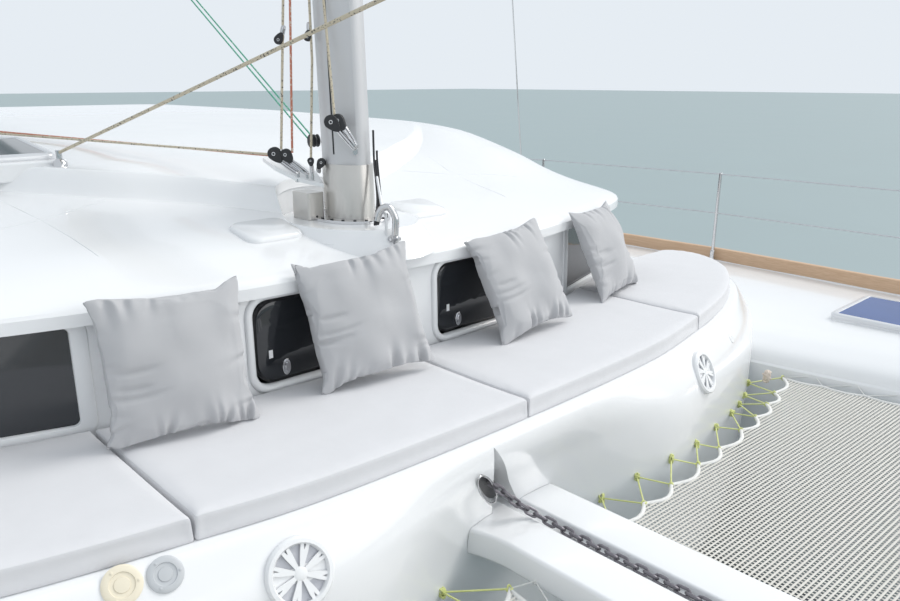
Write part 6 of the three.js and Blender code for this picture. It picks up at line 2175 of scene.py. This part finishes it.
# Shrouds: wire to each hull's chainplate, with a polished turnbuckle
SHROUD_Y = 1.35
for word, sign, turn in SIDES:
    x = rail_x(SHROUD_Y) - 0.05
    foot = Vector((x, SHROUD_Y, deck_top(SHROUD_Y)))
    top = Vector((0.11, hound_y, HOUND_Z))
    screw = [
        (0, 0.006), (0.02, 0.012), (0.1, 0.012), (0.14, 0.009), (0.3, 0.009), (0.33, 0.014), (0.67, 0.014),
        (0.7, 0.009), (0.86, 0.009), (0.9, 0.011), (1, 0.006),
    ]
    parts = [rod(foot, top, 0.0055, 12), turned(foot.lerp(top, 0.0015), foot.lerp(top, 0.045), screw, 20)]
    parts.append(
        slab_box(x - 0.007, x + 0.007, SHROUD_Y - 0.03, SHROUD_Y + 0.03, foot.z - 0.09, foot.z + 0.035)
    )
    parts.append(
        rod((x - 0.014, SHROUD_Y, foot.z + 0.018), (x + 0.014, SHROUD_Y, foot.z + 0.018), 0.008, 14)
    )
    add("shroud_wire_" + word, turn(parts), steel, "steel", "shroud_" + word)

# Sunbed cushions: foam blocks in light grey woven covers, four lengths that butt at narrow seams.
# The covers are filled by a cloth simulation that crowns the tops and rounds the edges.
CUSHION_ENDS = [(-2.56, -1.18), (-1.18, 0), (0, 1.32), (1.32, 2.56)]
CUSHION = 0.075
SEAM = 0.003
GAP = 0.0003
cushion_cloth = woven("cushion_cloth", (0.67, 0.672, 0.69), 700, 0.35)
pillow_cloth = woven("pillow_cloth", (0.46, 0.462, 0.475), 900, 0.45)


# A cloth cover blown up a little from its given shape; points pinned by weight, and none moves past the cap
def fill_cover(made, pressure, cap, pinned=(), stretch=18, bend=0.3, frames=18):
    start = [vertex.co.copy() for vertex in made.data.vertices]
    cloth = made.modifiers.new("filling", "CLOTH")
    settings = cloth.settings
    settings.quality = 5
    settings.mass = 0.25
    settings.tension_stiffness = stretch
    settings.compression_stiffness = stretch
    settings.shear_stiffness = stretch / 3
    settings.bending_stiffness = bend
    settings.use_pressure = True
    settings.uniform_pressure_force = pressure
    settings.effector_weights.gravity = 0
    if pinned:
        group = made.vertex_groups.new(name="pinned")
        group.add(pinned, 1.0, "REPLACE")
        settings.vertex_group_mass = "pinned"
    scene = bpy.context.scene
    for number in range(1, frames + 1):
        scene.frame_set(number)
    settle(made)
    scene.frame_set(1)
    for vertex, old in zip(made.data.vertices, start):
        moved = vertex.co - old
        if moved.length > cap:
            vertex.co = old + moved * (cap / moved.length)


def refine(made):
    smoother = made.modifiers.new("fine", "SUBSURF")
    smoother.levels = 1
    smoother.render_levels = 1
    settle(made)
    for face in made.data.polygons:
        face.use_smooth = True


def plan_at(table, x):
    k = max(i for i in range(len(table) - 1) if table[i][0] <= x)
    (x0, y0), (x1, y1) = table[k], table[k + 1]
    return y0 + (y1 - y0) * (x - x0) / (x1 - x0)


# Front edge of the sunbed as a line of plan points from the inner to the outer end
front_half = [(p.x, p.y) for p in curve([(x, y, 0) for x, y in SEAT_PLAN], 8)]


def cushion_rows(near, far, inset):
    end = far > 2.5
    inner = near + SEAM + inset
    outer = 2.42 if end else far - SEAM - inset
    line = [point for point in front_half if point[0] > inner + 0.004 and (end or point[0] < outer - 0.004)]
    line = [(inner, plan_at(front_half, inner)), *line]
    if not end:
        line.append((outer, plan_at(front_half, outer)))
    spaced = resample(line, 0.016)
    front = []
    for k, point in enumerate(spaced):
        ahead = spaced[min(k + 1, len(spaced) - 1)] - spaced[max(k - 1, 0)]
        inward = Vector((-ahead.y, ahead.x, 0)).normalized()
        shift = inward * inset if (0 < k < len(spaced) - 1 or end and k) else Vector((0, inset, 0))
        front.append((point.x + shift.x, point.y + shift.y))
    rear_end = 2.3 if end else outer
    rear = []
    for k in range(len(front)):
        x = inner + (rear_end - inner) * k / (len(front) - 1)
        rear.append((x, min(plan_at([*WALL_PLAN, (9, -0.45)], x) - 0.008, -0.86) - inset))
    return front, rear


def cushion_form(near, far, inset):
    front, rear = cushion_rows(near, far, inset)
    columns, rows = len(front), 44
    verts, faces = [], []
    bottom, top = SEAT_Z + GAP, SEAT_Z + CUSHION - 0.004
    for level in (bottom, top):
        for i in range(columns):
            for j in range(rows + 1):
                share = j / rows
                verts.append(
                    (
                        front[i][0] + (rear[i][0] - front[i][0]) * share,
                        front[i][1] + (rear[i][1] - front[i][1]) * share, level,
                    )
                )
    pins = list(range(columns * (rows + 1)))
    count = columns * (rows + 1)

    def at(i, j, k):
        return k * count + i * (rows + 1) + j

    for i in range(columns - 1):
        for j in range(rows):
            faces.append((at(i, j, 1), at(i + 1, j, 1), at(i + 1, j + 1, 1), at(i, j + 1, 1)))
            faces.append((at(i, j, 0), at(i, j + 1, 0), at(i + 1, j + 1, 0), at(i + 1, j, 0)))
    border = [(i, 0) for i in range(columns)] + [(columns - 1, j) for j in range(1, rows + 1)]
    border += [(i, rows) for i in range(columns - 2, -1, -1)] + [(0, j) for j in range(rows - 1, 0, -1)]
    levels = 5
    layer_of = {}
    for b, (i, j) in enumerate(border):
        x, y, _ = verts[at(i, j, 0)]
        layer_of[b] = [at(i, j, 0)]
        for n in range(1, levels):
            verts.append((x, y, bottom + (top - bottom) * n / levels))
            layer_of[b].append(len(verts) - 1)
        layer_of[b].append(at(i, j, 1))
    for b in range(len(border)):
        here, there = layer_of[b], layer_of[(b + 1) % len(border)]
        for n in range(levels):
            faces.append((here[n], there[n], there[n + 1], here[n + 1]))
    return verts, faces, pins


for number, (start, end) in enumerate(CUSHION_ENDS, 1):
    flip = end <= 0
    near, far = (-end, -start) if flip else (start, end)
    verts, faces, pins = cushion_form(near, far, -0.002)
    made = piece(
        "cushion_cover_%d" % number, mirror([(verts, faces)]) if flip else [(verts, faces)], cushion_cloth,
        80,
    )
    fill_cover(made, 1.6, 0.006, pinned=pins, stretch=40, bend=2.0, frames=12)
    for vertex in made.data.vertices:
        vertex.co.z = max(vertex.co.z, SEAT_Z + GAP)
        vertex.co.x = min(max(vertex.co.x, start + GAP), end - GAP)
    refine(made)
    fit(made, "cushion", "cushion_%d" % number)

# Pillows: square feather pillows in grey cloth, two panels sewn at the edges with eared corners.
# A cloth simulation blows each cover up from flat panels; its dome and creases are then shaped in code.
# Middle of the lower edge, turn about the vertical, turn in its own plane, lean, size
PILLOWS = [
    (-0.985, -1.353, -10, 0, 12.8, 0.455),
    (-0.296, -1.412, -10, -4.4, 19, 0.46),
    (0.552, -1.446, 0, -4.7, 26, 0.465),
    (1.381, -1.292, 14, 0.6, 25, 0.465),
]
# Half of a pillow's thickness to the front, and to the back, where it leans on the cabin
PILLOW_HALF_THICK = 0.078
PILLOW_HALF_BACK = 0.042
PILLOW_STEPS = 62


def pillow_form(size, seed):
    verts, faces = [], []
    steps = PILLOW_STEPS
    index = {}
    shift = random.Random(seed)
    offset = Vector((shift.uniform(-9, 9), shift.uniform(-9, 9), 0))
    for side in (-1, 1):
        for i in range(steps + 1):
            for j in range(steps + 1):
                u, v = 2 * i / steps - 1, 2 * j / steps - 1
                rim = i in (0, steps) or j in (0, steps)
                if rim and side > 0:
                    index[side, i, j] = index[-1, i, j]
                    continue
                swell = ((1 - u**4) * (1 - v**4)) ** 0.5
                bow = 1 + 0.012 * (1 - v * v) * u * u
                bow_v = 1 + 0.022 * (1 - u * u) * v * v
                ripple = 0.002 * noise.noise(Vector((u * 3, v * 3, side * 2)) + offset)
                verts.append((u * size / 2 * bow, side * (0.026 * swell) + ripple, v * size / 2 * bow_v))
                index[side, i, j] = len(verts) - 1
    for side in (-1, 1):
        for i in range(steps):
            for j in range(steps):
                faces.append(
                    (
                        index[side, i, j], index[side, i + 1, j], index[side, i + 1, j + 1],
                        index[side, i, j + 1],
                    )
                )
    return verts, faces


def pillow_place(x, y, turn, roll, lean, size):
    tilt = math.radians(roll)
    high = size / 2 * (math.cos(tilt) + abs(math.sin(tilt)))
    made = Matrix.Translation((x, y, SEAT_Z + CUSHION))
    made @= Matrix.Rotation(math.radians(turn), 4, "Z") @ Matrix.Rotation(-math.radians(lean), 4, "X")
    return made @ Matrix.Translation((0, 0, high)) @ Matrix.Rotation(tilt, 4, "Y")


# Creases that start at a seam (0 lower, 1 upper, 2 left, 3 right): the seam, place along it, reach,
# width, depth
def seam_creases(seed):
    chance = random.Random(seed)
    found = [(0, 0.3, 0.34, 0.05, 0.017)]
    for seam, count, deepest in ((0, 11, 0.013), (1, 6, 0.009), (2, 4, 0.006), (3, 4, 0.006)):
        for _ in range(count):
            reach = chance.uniform(0.12, 0.34)
            found.append(
                (
                    seam, chance.uniform(-0.8, 0.85), reach, chance.uniform(0.02, 0.042),
                    deepest * reach / 0.25,
                )
            )
    return found


# The panels dome from seam to seam, with creases that run in from the seams and slack folds at one side
def pucker(co, half, seed, creases):
    u, v = max(-1, min(1, co.x / half)), max(-1, min(1, co.z / half))
    side = 1 if co.y > 0 else -1
    thick = PILLOW_HALF_BACK if side > 0 else PILLOW_HALF_THICK
    dome = thick * max(0, (1 - u * u) * (1 - v * v)) ** 0.5
    co.y = side * (0.8 * dome + 0.2 * min(abs(co.y), 1.25 * dome))
    gap = 1 - max(abs(u), abs(v))
    depth = 0.02 * noise.noise(Vector((u * 1.6 + seed, v * 1.6, side * 4))) * min(1, gap * 4)
    for seam, place, reach, width, deep in creases:
        if seam < 2:
            along_seam, inward = u, 1 + (v if seam == 0 else -v)
        else:
            along_seam, inward = v, 1 + (u if seam == 2 else -u)
        if inward > 2.2 * reach:
            continue
        lean_over = place + 0.25 * math.sin(place * 40) * inward
        spread = width * (1 + inward / reach)
        across = (along_seam - lean_over) / spread
        cut = math.exp(-across * across) - 0.5 * math.exp(-(((across - 1.6) / 1.2) ** 2))
        depth -= deep * cut * math.exp(-((inward / reach) ** 2)) * min(1, inward / 0.05)
    chance = random.Random(int(seed * 1000) + side)
    for _ in range(3):
        level, reach = chance.uniform(-0.4, 0.1), chance.uniform(0.2, 0.42)
        bend = v - level - 0.25 * (u + 0.6) ** 2
        across = math.exp(-(((u + 0.62) / reach) ** 4))
        depth -= 0.008 * math.exp(-((bend / 0.04) ** 2)) * across * min(1, gap * 8)
    co.y += side * depth * (0.3 if side > 0 else 1)
    ear = abs(u * v) ** 5
    co.x *= 1 - 0.035 * (1 - v * v) * abs(u) + 0.035 * ear
    co.z *= 1 - 0.025 * (1 - u * u) * abs(v) + 0.035 * ear


# The filled cover is brought to its size, leaned in place, and flattened where it stands on the cushion
def fit_pillow(made, row):
    corners = [vertex.co for vertex in made.data.vertices]
    wide = max(co.x for co in corners) - min(co.x for co in corners)
    tall = max(co.z for co in corners) - min(co.z for co in corners)
    thick = max(abs(co.y) for co in corners)
    size = row[5]
    creases = seam_creases(row[0])
    for vertex in made.data.vertices:
        vertex.co.x *= size / wide
        vertex.co.z *= size / tall
        vertex.co.y *= PILLOW_HALF_THICK / thick
        pucker(vertex.co, size / 2, row[0], creases)
    made.data.transform(pillow_place(*row))
    top = SEAT_Z + CUSHION
    for vertex in made.data.vertices:
        low = max(0, top + 0.03 - vertex.co.z)
        vertex.co.z = max(vertex.co.z, top + 0.0006) if low < 0.03 else top + 0.0006


for number, row in enumerate(PILLOWS, 1):
    size = row[5]
    made = piece("pillow_cover_%d" % number, [pillow_form(size * 1.17, number)], pillow_cloth, 180)
    fill_cover(made, 4.5, 0.04, stretch=20, bend=0.05, frames=16)
    refine(made)
    fit_pillow(made, row)
    fit(made, "pillow", "pillow_%d" % number)
